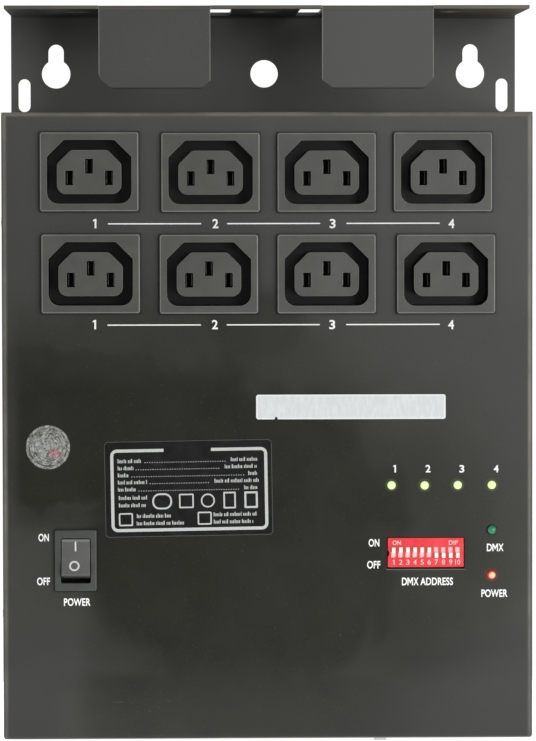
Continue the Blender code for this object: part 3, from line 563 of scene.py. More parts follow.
        # painted light: the lit lamps' glow is painted into the coat just around them
        for cx, cz_, glow in [(*at, linear(96, 118, 62)) for key, at in LEDS.items() if key.startswith("channel")] + [(*LEDS["power_led"], linear(140, 72, 52))]:
            tone = skin.mix(skin.ramp(skin.oval(cx, cz_, 1.0, 1.0), 2.7, 1.85, 0.0, 0.38), tone, glow)
    # handling scratches: thin, pale and sparse, in two directions
    few = skin.noise(19, 2, 0.5)
    for slant, place, low in ((28, (0, 0, 0), 0.6), (-63, (0.4, 0, 0.7), 0.64)):
        streak = skin.noise(1, 2, 0.55, 0, skin.stretched((38, 38, 1000), place, (0, radians(slant), 0)))
        scratch = skin.math("MULTIPLY", skin.ramp(streak, 0.735, 0.765), skin.ramp(few, low, low + 0.1))
        tone = skin.mix(skin.math("MULTIPLY", scratch, 0.3), tone, linear(112, 112, 106))
    if case:
        # painted highlight along the bends and the lower edge, where the coat is also thinner, browner and rubbed
        away = skin.math("ABSOLUTE", x)
        side = skin.math("MULTIPLY", skin.math("MULTIPLY", skin.ramp(away, 0.0917, 0.0930), skin.ramp(away, 0.09385, 0.0934, 0.3, 1.0)), skin.ramp(z, -0.115, -0.035, 0.3, 1.0, smooth=False))
        foot = skin.math("MULTIPLY", skin.ramp(z, -0.1104, -0.1111), skin.ramp(x, -0.030, -0.012, 0.2, 1.0))
        top = skin.ramp(z, 0.1093, 0.1105)
        near = skin.math("MAXIMUM", skin.math("MAXIMUM", side, foot), top)
        front = skin.ramp(y, -0.0674, -0.0686)
        bend_highlight_and_wear = skin.math("MULTIPLY", skin.math("MULTIPLY", near, front), skin.ramp(skin.noise(60, 3, 0.65), 0.32, 0.66, 0.6, 1.0))
        tone = skin.mix(skin.math("MULTIPLY", bend_highlight_and_wear, 0.8), tone, skin.mix(foot, linear(126, 123, 113), linear(122, 102, 76)))
    else:
        # painted light: the upright sheet is painted paler towards the case and its left end, and the right tab is
        # painted paler
        x, y, z = skin.xyz()
        low = skin.math("MULTIPLY", skin.ramp(z, 0.146, 0.114, 0.0, 0.8, smooth=False), skin.ramp(y, -0.03, -0.01))
        end = skin.math("MULTIPLY", skin.ramp(x, -0.074, -0.088, 0.0, 0.45), skin.ramp(y, -0.03, -0.01))
        tone = skin.mix(skin.math("MULTIPLY", skin.math("ADD", low, end, clamp=True), skin.ramp(skin.noise(45, 4, 0.6), 0.3, 0.7, 0.85, 1.0)), tone, tuple(c + 0.062 for c in light))
        tone = skin.mix(skin.math("MULTIPLY", skin.ramp(x, -0.01, 0.03, 0.0, 1.0), skin.ramp(y, -0.055, -0.065)), tone, tuple(c + 0.012 for c in light))
        # the flange is browner at its front edge, and the underside of its right end is painted paler and browner, a
        # painted highlight
        brow = skin.math("MULTIPLY", skin.ramp(z, 0.1470, 0.1476), skin.ramp(y, -0.0686, -0.0692, 0.0, 0.55))
        tone = skin.mix(skin.math("MULTIPLY", brow, skin.ramp(skin.noise(40, 3, 0.6), 0.3, 0.65, 0.5, 1.0)), tone, linear(104, 98, 80))
        underside_highlight = skin.math("MULTIPLY", skin.math("MULTIPLY", skin.ramp(z, 0.1470, 0.14745), skin.ramp(z, 0.1482, 0.1477)), skin.ramp(x, 0.045, 0.088, 0.0, 0.6))
        tone = skin.mix(underside_highlight, tone, linear(118, 111, 92))
        # painted highlight along the tabs' cut edges, broken up like wear, and painted shade along their lower edge
        near = None
        for edge_x in (-59.5, -20.0, 19.4, 58.9):
            reach_x = skin.math("ABSOLUTE", skin.math("SUBTRACT", x, edge_x * MM))
            near = reach_x if near is None else skin.math("MINIMUM", near, reach_x)
        face = skin.math("MULTIPLY", skin.ramp(y, -0.0686, -0.0690), skin.ramp(z, 0.1200, 0.1206))
        edge_highlight_and_wear = skin.math("MULTIPLY", skin.math("MULTIPLY", skin.ramp(near, 0.00042, 0.00024), face), skin.ramp(skin.noise(120, 3, 0.6), 0.3, 0.6, 0.5, 1.0))
        tone = skin.mix(skin.math("MULTIPLY", edge_highlight_and_wear, 0.85), tone, linear(122, 120, 112))
        under = skin.math("MULTIPLY", skin.ramp(z, 0.12000, 0.11972), skin.ramp(y, -0.0680, -0.0686))
        tone = skin.mix(under, tone, linear(4, 4, 4))
    skin.colour(tone)
    skin.rough(gloss)
    waves = skin.bump(skin.noise(16, 1, 0.4), 0.3)
    peel = skin.bump(skin.noise(1250, 2, 0.5), 0.014, after=waves)
    skin.bump(skin.noise(5200, 1, 0.5), 0.0024, after=peel)
    return skin.material


def moulded(name, colour, light, rough=0.42, grain=0.01, scale=3200, depths=None, shade_tone=None, shaded_lows=None, highlit_highs=None):
    """Moulded plastic: spark-eroded grain, faint flow tone and slightly uneven gloss. Between the two depths (y, in
    millimetres) it darkens to a painted shade tone, as in an unlit hollow, and between the two low levels (z) to
    painted shade at a lower end. Between the two high levels it gets a pale painted highlight."""
    skin = Skin(name, colour, rough)
    tone = skin.mix(skin.ramp(skin.noise(90, 3, 0.55, 0.6), 0.3, 0.72), colour, light)
    tone = skin.mix(skin.ramp(skin.noise(2600, 1, 0.5), 0.68, 0.78, 0, 0.25), tone, tuple(min(1, c * 1.9 + 0.006) for c in light))
    if depths:
        tone = skin.mix(skin.ramp(skin.xyz()[1], depths[0] * MM, depths[1] * MM), tone, shade_tone)
    if shaded_lows:
        tone = skin.mix(skin.ramp(skin.xyz()[2], shaded_lows[0] * MM, shaded_lows[1] * MM), tone, shade_tone)
    if highlit_highs:
        tone = skin.mix(skin.ramp(skin.xyz()[2], highlit_highs[0] * MM, highlit_highs[1] * MM, 0.0, 0.6), tone, linear(130, 131, 128))
    skin.colour(tone)
    skin.rough(skin.ramp(skin.noise(140, 3, 0.6), 0.3, 0.7, rough - 0.06, rough + 0.07, smooth=False))
    flow = skin.bump(skin.noise(120, 2, 0.5), 0.03)
    skin.bump(skin.noise(scale, 2, 0.6), grain, after=flow)
    return skin.material


def plated(name, colour, rough=0.28, brushed=(1, 1, 1), tarnish=None):
    """Plated or bare metal with fine drawing lines, fingerprints and a little tarnish."""
    skin = Skin(name, colour, rough, 1.0)
    lines = skin.noise(1, 3, 0.6, 0, skin.stretched(tuple(s * 1000 for s in brushed)))
    cloudy = skin.noise(170, 4, 0.6, 0.5)
    dull = tarnish or tuple(c * 0.55 for c in colour)
    skin.colour(skin.mix(skin.ramp(cloudy, 0.5, 0.78, 0, 0.75), colour, dull))
    skin.rough(skin.math("ADD", skin.ramp(lines, 0.3, 0.7, rough - 0.08, rough + 0.1, smooth=False), skin.ramp(cloudy, 0.5, 0.8, 0, 0.15)))
    skin.bump(lines, 0.004)
    return skin.material


# painted reflection: the dark tones painted into the glossy middle of the case front
PAINTED_REFLECTION_DARK, PAINTED_REFLECTION_LIGHT = (0.0066, 0.0067, 0.0036), (0.0107, 0.0108, 0.0056)
CASE_COAT = powder_coat("case_coat", (0.025, 0.0255, 0.0213), (0.033, 0.0335, 0.0288))
# painted light: the plate's coat is set paler than the case's, standing in for the light that falls on the plate
PLATE_COAT = powder_coat("plate_coat", (0.041, 0.0414, 0.0375), (0.049, 0.0494, 0.0455), case=False)
# painted shade: the outlet plastic darkens inside the recess and slots
OUTLET_SKIN = moulded("outlet_plastic", linear(73, 73, 70), linear(80, 80, 77), 0.38, 0.006, depths=(-71.7, -70.3), shade_tone=linear(14, 14, 13))
# painted highlight: a paler copy of the outlet plastic for the rounded rims
OUTLET_RIM_HIGHLIGHT = moulded("outlet_rim_highlight", linear(112, 112, 109), linear(124, 124, 120), 0.34, 0.003)
SWITCH_SKIN = moulded("switch_plastic", linear(60, 62, 57), linear(70, 72, 66), 0.4, 0.008)
# painted shade at the rocker's lower end and a painted highlight at its upper end
ROCKER_SKIN = moulded("rocker_plastic", linear(87, 87, 85), linear(94, 94, 92), 0.3, 0.003, shade_tone=linear(20, 21, 17), shaded_lows=(-52.5, -53.9), highlit_highs=(-40.75, -40.5))
CONNECTOR_SKIN = moulded("connector_plastic", linear(28, 28, 28), linear(36, 36, 35), 0.42, 0.008)
WHITE_PLASTIC = moulded("lever_plastic", linear(243, 240, 232), linear(250, 248, 242), 0.32, 0.002)
# painted light: the lever slide plates are tinted pink, standing in for red light bounced from the switch body
SLIDE_RED_BOUNCE = moulded("lever_slide_red_bounce", linear(248, 218, 216), linear(254, 230, 228), 0.42, 0.003)
ZINC = plated("zinc_plate", (0.62, 0.62, 0.64), 0.26, (0.2, 0.2, 1.6))
NICKEL = plated("nickel_plate", (0.66, 0.64, 0.6), 0.2, (1.2, 1.2, 0.1))
BRASS = plated("brass", (0.72, 0.52, 0.24), 0.28, (1, 1, 0.2), (0.32, 0.2, 0.08))
# painted shade: the contacts' tin is set dark grey and dull, so the contacts deep in the slots stay dark
TIN = plated("tinned_contact", (0.3, 0.3, 0.29), 0.36, (0.4, 0.2, 1.2), (0.12, 0.12, 0.11))


def red_plastic():
    """Glossy red moulding with a faintly mottled tone."""
    skin = Skin("red_plastic", linear(232, 50, 58), 0.3)
    tone = skin.mix(skin.ramp(skin.noise(160, 3, 0.6, 0.5), 0.3, 0.7), linear(230, 48, 56), linear(240, 66, 72))
    skin.colour(tone)
    skin.rough(skin.ramp(skin.noise(400, 3, 0.6), 0.3, 0.7, 0.24, 0.4, smooth=False))
    skin.bump(skin.noise(2400, 2, 0.5), 0.003)
    return skin.material


RED_PLASTIC = red_plastic()


def ink(name, colour, rough=0.5):
    """Screen-printed ink: slightly uneven cover with a mesh-fine relief."""
    skin = Skin(name, colour, rough)
    thin = tuple(c * 0.82 for c in colour)
    skin.colour(skin.mix(skin.ramp(skin.noise(900, 3, 0.6), 0.52, 0.8, 0, 0.6), colour, thin))
    skin.rough(skin.ramp(skin.noise(500, 2, 0.5), 0.3, 0.7, rough - 0.06, rough + 0.08, smooth=False))
    skin.bump(skin.noise(4200, 1, 0.5), 0.004)
    return skin.material


WHITE_INK = ink("white_ink", linear(250, 250, 248))
ROCKER_INK = ink("rocker_ink", linear(214, 216, 215))
DIP_INK = ink("dip_ink", linear(252, 214, 214))
SILVER_INK = ink("silver_ink", linear(196, 198, 196), 0.42)


def lens(name, core, rim, power, centre, core_r=(1.2, 1.42), offset=(0.0, 0.0), clear=linear(120, 150, 60), rim_power=0.0, ring=None):
    """A small lamp: a bright core that deepens outwards, inside a dark rim. The core is found by the distance from the
    lamp's own axis, in the object's coordinates."""
    skin = Skin(name, rim, 0.12, 0.0, Coat_Weight=0.5, Coat_Roughness=0.06)
    x, y, z = skin.xyz()
    dx = skin.math("SUBTRACT", x, (centre[0] + offset[0]) * MM)
    dz = skin.math("SUBTRACT", z, (centre[1] + offset[1]) * MM)
    away = skin.math("SQRT", skin.math("ADD", skin.math("MULTIPLY", dx, dx), skin.math("MULTIPLY", dz, dz)))
    inner = skin.ramp(away, core_r[0] * MM, core_r[1] * MM, 1.0, 0.0)
    faint = skin.ramp(skin.noise(1600, 2, 0.5), 0.3, 0.7, 0.92, 1.0, smooth=False)
    skin.colour(skin.mix(inner, rim, clear))
    if power > 0:
        glow = skin.mix(skin.ramp(away, 0.45 * MM, core_r[0] * MM), core, ring or core)
        skin.feed(skin.shader.inputs["Emission Color"], skin.mix(inner, rim, glow))
        level = skin.math("MULTIPLY", skin.ramp(inner, 0.0, 1.0, rim_power, power, smooth=False), faint)
        skin.feed(skin.shader.inputs["Emission Strength"], level)
    skin.rough(skin.ramp(skin.noise(900, 2, 0.5), 0.3, 0.7, 0.08, 0.18, smooth=False))
    skin.bump(skin.noise(700, 1, 0.5), 0.01)
    return skin.material


# ---------------------------------------------------------------- front cover
def two_way(name, half_x, half_z, front, back, r, reach, n=8):
    """A tray shape folded both ways: the common part of two rounded extrusions, so that the corners are mitred."""
    plan = [(-half_x, back)] + arc(-half_x + r, front + r, r, 180, 270, n) + arc(half_x - r, front + r, r, 270, 360, n) + [(half_x, back)]
    side = [(back, -half_z)] + [(y, z) for z, y in arc(-half_z + r, front + r, r, 180, 270, n)] + [(y, z) for z, y in arc(half_z - r, front + r, r, 270, 360, n)] + [(back, half_z)]
    a = slab(name, [plan], "Z", -half_z - reach, half_z + reach)
    b = slab(name + "_across", [side], "X", -half_x - reach, half_x + reach)
    return common(a, b)


cover = two_way("case_cover", CASE_W / 2, CASE_H / 2, FRONT, 0.0, COVER_R, 2.0)
hollow = two_way("case_hollow", CASE_W / 2 - COVER_T, CASE_H / 2 - COVER_T, FRONT + COVER_T, 3.0, COVER_R - COVER_T, 1.0, 4)
cut(cover, hollow)
common(cover, slab("case_round", [filleted([(-94.0, BOTTOM, 1.4), (94.0, BOTTOM, 1.4), (94.0, -BOTTOM, 0.4), (-94.0, -BOTTOM, 0.4)], 6)], "Y", FRONT - 1, 4))
panel_holes = []
for x, z in OUTLETS.values():
    panel_holes.append(rounded(x, z, 32.0, 25.2, 0.5, 3))
x, z = ROCKER_AT
panel_holes.append(rounded(x, z, 13.5, 19.6, 0.5, 3))
x, z = DIP_AT
panel_holes.append(rounded(x, z - 0.2, 27.58, 11.3, 0.35, 3))
panel_holes += [circle(x, z, 1.83, 48) for x, z in LEDS.values()]
half, reach = 3.8, 12.0
under_holes = [
    circle(DMX_IN_X, CONNECTOR_Y, 12.0, 56),
    rounded(INLET_X, -33.0, 28.0, 31.0, 0.6, 3),
    arc(DMX_OUT_X, CONNECTOR_Y, reach, -90 + degrees(asin(half / reach)), 270 - degrees(asin(half / reach)), 48)
    + [(DMX_OUT_X - half, CONNECTOR_Y - 14.8), (DMX_OUT_X + half, CONNECTOR_Y - 14.8)],
]
seams = [box("seam", (s * 94 - 0.55, s * 94 + 0.55), (-67.9, 2), (t * 110.35 - 0.13, t * 110.35 + 0.13)) for s in (-1, 1) for t in (-1, 1)]
reliefs = [turned("relief", [(0, 94.8 * s), (0.55, 94.8 * s), (0.55, 93.2 * s), (0, 93.2 * s)], 20, "X", (0, -67.75, t * 110.2)) for s in (-1, 1) for t in (-1, 1)]
cut(
    cover,
    slab("panel_holes", panel_holes, "Y", FRONT - 3, FRONT + 3),
    slab("under_holes", under_holes, "Z", BOTTOM - 3, BOTTOM + 3),
    box("top_relief", (-93.25, 93.25), (-1.5, 4), (109.6, 114)),
    *[turned("screw_hole", [(0, -96), (2.3, -96), (2.3, 96), (0, 96)], 28, "X", (0, SCREW_Y, z)) for z in SCREW_Z],
    *seams,
    *reliefs,
)
soften(cover, 0.14, 2, 35)
dress(cover, "chassis", CASE_COAT, ["front_cover"])
cover.name = "case_cover"

# ---------------------------------------------------------------- mounting plate
inner = FOLD_R - PLATE_T
cz = FLANGE_TOP - FOLD_R
side_view = [(0, PLATE_BOTTOM)] + arc(-REAR_R, FLANGE_TOP - REAR_R, REAR_R, 0, 90, 12) + [(FRONT, FLANGE_TOP), (FRONT, FLANGE_TOP - PLATE_T)] + arc(-REAR_R, FLANGE_TOP - REAR_R, REAR_R - PLATE_T, 90, 0, 10) + [(-PLATE_T, PLATE_BOTTOM)]
plate = slab("back_plate", [side_view], "X", -PLATE_W / 2, PLATE_W / 2)
lip = FRONT + FOLD_R
tab_view = [(lip + 0.5, FLANGE_TOP)] + arc(lip, cz, FOLD_R, 90, 180, 10) + [(FRONT, TAB_BOTTOM), (FRONT + PLATE_T, TAB_BOTTOM)] + arc(lip, cz, inner, 180, 90, 6) + [(lip + 0.5, FLANGE_TOP - PLATE_T)]
cut(plate, slab("tab_notches", [rect(x0, x1, FRONT - 2, lip) for x0, x1 in TABS], "Z", FLANGE_TOP - 3, FLANGE_TOP + 2))


def tab_outline(x0, x1, left, right):
    """The tab seen from the front: (x reach, z reach, corner roundness) at each lower corner."""
    lx, lz, lr = left
    rx, rz, rr = right
    b = TAB_BOTTOM
    return filleted([(x0, b + lz, lr), (x0 + lx, b, lr), (x1 - rx, b, rr), (x1, b + rz, rr), (x1, FLANGE_TOP + 5, 0), (x0, FLANGE_TOP + 5, 0)], 5)


for k, ((x0, x1), corners) in enumerate(zip(TABS, (((5.0, 3.9, 4.0), (3.4, 3.1, 0.5)), ((4.3, 3.2, 1.0), (3.7, 4.0, 1.6))))):
    tab = slab(f"tab_{k}", [tab_view], "X", x0, x1)
    common(tab, slab("tab_shape", [tab_outline(x0, x1, *corners)], "Y", FRONT - 5, FRONT + 8))
    join(plate, tab)
edge = PLATE_W / 2
for x0, x1 in ((-edge, -edge + PLATE_T), (edge - PLATE_T, edge)):
    join(plate, slab("side_return", [filleted([(-14.0, -100, 2.0), (-0.6, -100, 0), (-0.6, 100, 0), (-14.0, 100, 2.0)], 5)], "X", x0, x1))


def keyhole(cx, cz_, r, slot_w, top):
    half_w = slot_w / 2
    a = degrees(acos(half_w / r))
    return arc(cx, cz_, r, 180 - a, 360 + a, 44) + arc(cx, top - half_w, half_w, 0, 180, 18)


plate_holes = [keyhole(x, 126.2, 5.25, 5.65, 137.05) for x in (-76.25, 76.25)] + [circle(0.3, 126.25, 5.05, 56)]
plate_holes += [arc(x, 122.2, 2.2, 0, 180, 14) + arc(x, 114.5, 2.2, 180, 360, 14) for x in (-87.9, 87.9)]
flange_holes = [rounded((x0 + x1) / 2, -32.55, x1 - x0, 60.1, 0.4, 3) for x0, x1 in ((-19.9, -12.3), (11.9, 20.2))]
flange_holes += [circle(x, -37.4, 5.2, 56) for x in (-68.0, 0.0, 68.0)]
flange_holes.append(circle(87.0, -57.5, 0.9, 20))
# the shoulders of the pressed-in studs show on the back as fine rings
studs = []
for k in range(1, 5):
    low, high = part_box(f"relay_board_standoff_{k}")
    middle_x, middle_z = (low[0] + high[0]) * 500, (low[2] + high[2]) * 500
    studs.append(slab("stud_ring", [circle(middle_x, middle_z, 2.75, 40), circle(middle_x, middle_z, 2.5, 40)], "Y", -0.14, 3))
cut(
    plate,
    slab("plate_holes", plate_holes, "Y", -6, 3),
    slab("flange_holes", flange_holes, "Z", FLANGE_TOP - 4, FLANGE_TOP + 3),
    *[turned("plate_screw_hole", [(0, -95), (2.3, -95), (2.3, 95), (0, 95)], 28, "X", (0, SCREW_Y, z)) for z in SCREW_Z],
    *studs,
)
soften(plate, 0.18, 2, 35)
dress(plate, "chassis", PLATE_COAT, ["mounting_plate"])

# ---------------------------------------------------------------- outlets
block = slab("outlet_block", [rounded(0, 0, 34.8, 27.9, 0.9, 6)], "Y", -2.4, -0.02, rim_low=0.45, segments=4)
join(block, box("outlet_body", (-15.7, 15.7), (-1.2, 20.0), (-12.3, 12.3)))
recess = [appliance(0, 0, 29.8, 22.5, 6.0, 4.1, 0.9), appliance(0, -0.1, 22.7, 15.5, 4.9, 3.2, 2.2)]
cut(block, slab("outlet_ring", recess, "Y", -4.4, 14.5))
POLES = ((-7.0, -2.15), (7.0, -2.15), (0.0, 1.95))
cut(block, slab("outlet_slots", [rounded(x, z, 2.85, 5.2, 0.3, 3) for x, z in POLES], "Y", -4.4, 14.0))
soften(block, 0.27, 2, 40)
tails = [box("tail", (x - 3.15, x + 3.15) if k < 2 else (x - 0.4, x + 0.4), (20.02, 27), (z - 0.4, z + 0.4) if k < 2 else (z + 1.85, z + 8.15), 0.08) for k, (x, z) in enumerate(POLES)]
blades = []
for x, z in POLES:
    for s in (-1, 1):
        # two leaves of each contact, nearly touching in the middle of the slot
        leaf = [(s * 0.95 + 0.14 * s, 13.5), (s * 0.42 + 0.14 * s, 9.4), (s * 0.95 + 0.14 * s, 6.6), (s * 0.95 - 0.14 * s, 6.6), (s * 0.42 - 0.14 * s, 9.4), (s * 0.95 - 0.14 * s, 13.5)]
        blades.append(slab("leaf", [[(x + u, v) for u, v in leaf]], "Z", z - 2.2, z + 2.2))
block.data.materials.clear()
block.data.materials.append(OUTLET_SKIN)
block.data.materials.append(OUTLET_RIM_HIGHLIGHT)
for face in block.data.polygons:
    # painted highlight: the rounded rims in front get a paler copy of the plastic, for the light they catch and the
    # polish from plugs
    face.material_index = 1 if face.center.y < -1.9 * MM and 0.3 < -face.normal.y < 0.985 else 0
for part in tails + blades:
    part.data.materials.clear()
    part.data.materials.append(TIN)
outlet = merge("outlet_shape", [block] + tails + blades)
shade(outlet, 40)
outlet_mesh = outlet.data
for name, (x, z) in OUTLETS.items():
    made = bpy.data.objects.new(name + "_visual", outlet_mesh.copy())
    WORK.objects.link(made)
    moved(made, x, FRONT, z)
    dress(made, "chassis", None, [name], smooth=False)
bpy.data.objects.remove(outlet, do_unlink=True)

# ---------------------------------------------------------------- power switch housing and rocker
x, z = ROCKER_AT
housing = slab("housing", [rounded(0, 0, 14.85, 21.6, 0.75, 6)], "Y", -1.8, -0.02, rim_low=0.5, segments=4)
join(housing, box("housing_body", (-6.45, 6.45), (-1.0, 13.0), (-9.5, 9.5)))
cut(housing, slab("housing_well", [rounded(0, -0.1, 10.6, 15.98, 0.6, 4)], "Y", -4, 9.5))
cut(housing, turned("pivot_hole", [(0, -6.1), (1.5, -6.1), (1.5, 6.1), (0, 6.1)], 24, "X", (0, 3.8, -0.1)))
soften(housing, 0.16, 2, 40)
housing.data.materials.clear()
housing.data.materials.append(SWITCH_SKIN)
tabs = [box("switch_tail", (-2.4, 2.4), (13.02, 20), (level - 0.4, level + 0.4), 0.08) for level in (-6.5, 0.0, 6.5)]
for tab in tabs:
    tab.data.materials.clear()
    tab.data.materials.append(TIN)
housing = merge("switch_housing", [housing] + tabs)
moved(housing, x, FRONT, z)
dress(housing, "chassis", None, ["power_switch_housing"])

PIVOT = Vector((x, FRONT + 3.8, z - 0.1))
TILT = radians(12)
a_, c_ = 6.2, 5.8
u_ = c_ + a_ * tan(TILT)


def rocker_face(h):
    """Depth of the rocker's front face (along y, about its pivot) at height h: two flats joined by a soft hollow."""
    blend = 1.6
    flat = sqrt(h * h + blend * blend) - blend * 0.35
    return -(c_ + (flat - blend * 0.65 + 0.0) * tan(TILT) * (1.0) )


heights = [-a_ + 2 * a_ * k / 32 for k in range(33)]
end_depth = rocker_face(a_)
view = [(rocker_face(h), h) for h in heights]
view += [(end_depth + 0.12, a_ + 0.22), (end_depth + 0.45, a_ + 0.36), (-2.0, 7.35), (1.0, 3.5), (3.2, 1.2), (3.2, -1.2), (1.0, -3.5), (-2.0, -7.35), (end_depth + 0.45, -a_ - 0.36), (end_depth + 0.12, -a_ - 0.22)]
rocker = slab("rocker", [view], "X", -5.05, 5.05, rim_low=0.28, rim_high=0.28, segments=3)
join(rocker, turned("trunnion", [(0, -5.8), (1.05, -5.8), (1.2, -5.65), (1.2, 5.65), (1.05, 5.8), (0, 5.8)], 24, "X"))
rocker.data.materials.clear()
rocker.data.materials.append(ROCKER_SKIN)


def printed(name, strips, depth=0.03):
    """Prints on the rocker's face: quads in (x, h), laid just above the surface and following it."""
    bm = bmesh.new()
    for quad in strips:
        bm.faces.new([bm.verts.new((px * MM, (rocker_face(h) - depth) * MM, h * MM)) for px, h in quad])
    bmesh.ops.remove_doubles(bm, verts=bm.verts, dist=1e-6)
    thick = bmesh.ops.extrude_face_region(bm, geom=bm.faces[:])
    bmesh.ops.translate(bm, vec=Vector((0, depth * 1.2 * MM, 0)), verts=[v for v in thick["geom"] if isinstance(v, bmesh.types.BMVert)])
    bmesh.ops.recalc_face_normals(bm, faces=bm.faces)
    made = object_of(name, bm)
    made.data.materials.append(ROCKER_INK)
    return made


line_at, line_h0, line_h1 = -0.05, 2.2, 5.55
strips = [[(line_at - 0.27, line_h0 + (line_h1 - line_h0) * k / 8), (line_at + 0.27, line_h0 + (line_h1 - line_h0) * k / 8), (line_at + 0.27, line_h0 + (line_h1 - line_h0) * (k + 1) / 8), (line_at - 0.27, line_h0 + (line_h1 - line_h0) * (k + 1) / 8)] for k in range(8)]
ring_at, ring_h, r0, r1 = -0.45, -3.08, 1.24, 1.85
for k in range(40):
    t0, t1 = 2 * pi * k / 40, 2 * pi * (k + 1) / 40
    strips.append([(ring_at + r0 * cos(t0), ring_h + r0 * sin(t0)), (ring_at + r1 * cos(t0), ring_h + r1 * sin(t0)), (ring_at + r1 * cos(t1), ring_h + r1 * sin(t1)), (ring_at + r0 * cos(t1), ring_h + r0 * sin(t1))])
rocker = merge("rocker_button", [rocker, printed("rocker_print", strips)])
rocker.data.transform(Matrix.Translation(PIVOT * MM) @ Matrix.Rotation(-TILT, 4, "X"))
dress(rocker, "power_rocker", None, ["power_rocker"])

# ---------------------------------------------------------------- address switch
x, z = DIP_AT
dip = slab("dip_shell", [rounded(0, 0, 26.98, 10.42, 0.25, 3)], "Y", 0.1, 6.5, rim_low=0.18, segments=2)
cut(dip, box("dip_hollow", (-12.7, 12.7), (0.62, 3.6), (-4.6, 4.6)))
columns = [(k - 4.5) * 2.53 for k in range(10)]
cut(dip, slab("dip_slots", [rounded(u, 0.0, 1.7, 3.9, 0.12, 2) for u in columns], "Y", -2, 1.2))
cut(dip, turned("dip_notch", [(0, -3.5), (1.6, -3.5), (1.6, 1.3), (0, 1.3)], 40, "-Y", (-14.5, 0.2, -0.28)))
dip.data.materials.clear()
dip.data.materials.append(RED_PLASTIC)
moved(dip, x, FRONT, z)


def lettering(name, words, skin, thickness=0.03, body_depth=0.0):
    """Printed text as thin meshes on the panel: (text, centre x, centre z, width or None, height, boldness)."""
    parts = []
    for text, cx, cz_, width, height, bold in words:
        if text == "1":
            # a plain stem with a short flag
            stem, flag = height * (0.17 + bold), height * 0.19
            left, right, foot = cx - (stem + flag) / 2, cx + (stem + flag) / 2, cz_ - height / 2
            shape = [(right - stem, foot), (right, foot), (right, foot + height), (right - stem * 0.86, foot + height), (left, foot + height * 0.86), (left + height * 0.045, foot + height * 0.73), (right - stem, foot + height * 0.79)]
            made = slab("text", [shape], "Y", FRONT + body_depth - thickness, FRONT + body_depth)
            made.data.materials.clear()
            parts.append(made)
            continue
        if text == "M":
            # straight stems and an open vee, so that the letter stays clear at this size
            left, foot, stem, dip_ = cx - width / 2, cz_ - height / 2, height * (0.125 + bold), height * 0.2
            half_w = width / 2
            shape = [(0, 0), (stem, 0), (stem, height * 0.68), (half_w, dip_), (width - stem, height * 0.68), (width - stem, 0), (width, 0), (width, height), (width - stem * 1.15, height), (half_w, dip_ + height * 0.36), (stem * 1.15, height), (0, height)]
            made = slab("text", [[(left + u, foot + v) for u, v in shape]], "Y", FRONT + body_depth - thickness, FRONT + body_depth)
            made.data.materials.clear()
            parts.append(made)
            continue
        curve = bpy.data.curves.new("text", "FONT")
        curve.body = text
        curve.size = 1.0
        curve.align_x = "CENTER"
        curve.offset = bold
        curve.space_character = 1.0 + bold * 1.6
        curve.extrude = 0.01
        curve.resolution_u = 6
        drawn = bpy.data.objects.new("text", curve)
        scene.collection.objects.link(drawn)
        mesh = evaluated_mesh(drawn)
        bpy.data.objects.remove(drawn, do_unlink=True)
        bpy.data.curves.remove(curve)
        xs = [v.co.x for v in mesh.vertices]
        ys = [v.co.y for v in mesh.vertices]
        lx, hx, ly, hy = min(xs), max(xs), min(ys), max(ys)
        tall = height / (hy - ly)
        wide = width / (hx - lx) if width else tall
        fit = Matrix.Diagonal((wide * MM, tall * MM, thickness * MM / 0.02, 1)) @ Matrix.Translation((-(lx + hx) / 2, -(ly + hy) / 2, 0))
        place = Matrix.Translation(Vector((cx, FRONT + body_depth - thickness / 2, cz_)) * MM) @ TURN["Y"]
        mesh.transform(place @ fit)
        made = bpy.data.objects.new("text", mesh)
        WORK.objects.link(made)
        parts.append(made)
    joined = merge(name, parts)
    bm = bmesh.new()
    bm.from_mesh(joined.data)
    bmesh.ops.remove_doubles(bm, verts=bm.verts, dist=5e-7)
    bmesh.ops.recalc_face_normals(bm, faces=bm.faces)
    bm.to_mesh(joined.data)
    bm.free()
    joined.data.materials.append(skin)
    return joined


dip_words = [("ON", x - 10.27, z + 3.48, 2.95, 1.6, 0.012), ("DIP", x + 9.85, z + 3.48, 3.2, 1.55, 0.006)]
for k, u in enumerate(columns):
    dip_words.append((str(k + 1), x + u, z - 3.42, 1.75 if k == 9 else (0.75 if k == 0 else 1.15), 1.75, 0.0))
dip_print = lettering("dip_print", dip_words, DIP_INK, 0.02, 0.1)
dip = merge("address_switch_body", [dip, dip_print])
dress(dip, "chassis", None, ["dip_switch_body"])

for k, u in enumerate(columns):
    level = z + (0.95 if k < 6 else -0.95)
    nub = box("nub", (-0.65, 0.65), (-0.75, 0.71), (-0.95, 0.95), 0.16, 3)
    plate_ = box("slide", (-0.95, 0.95), (0.72, 1.4), (-2.85, 2.85), 0.08, 2)
    for part, finish in ((nub, WHITE_PLASTIC), (plate_, SLIDE_RED_BOUNCE)):
        part.data.materials.clear()
        part.data.materials.append(finish)
    lever = merge("lever", [nub, plate_])
    moved(lever, x + u, FRONT, level)
    lever.name = f"address_lever_{k + 1}"
    dress(lever, f"dip_lever_{k + 1}", None, [f"dip_lever_{k + 1}"])

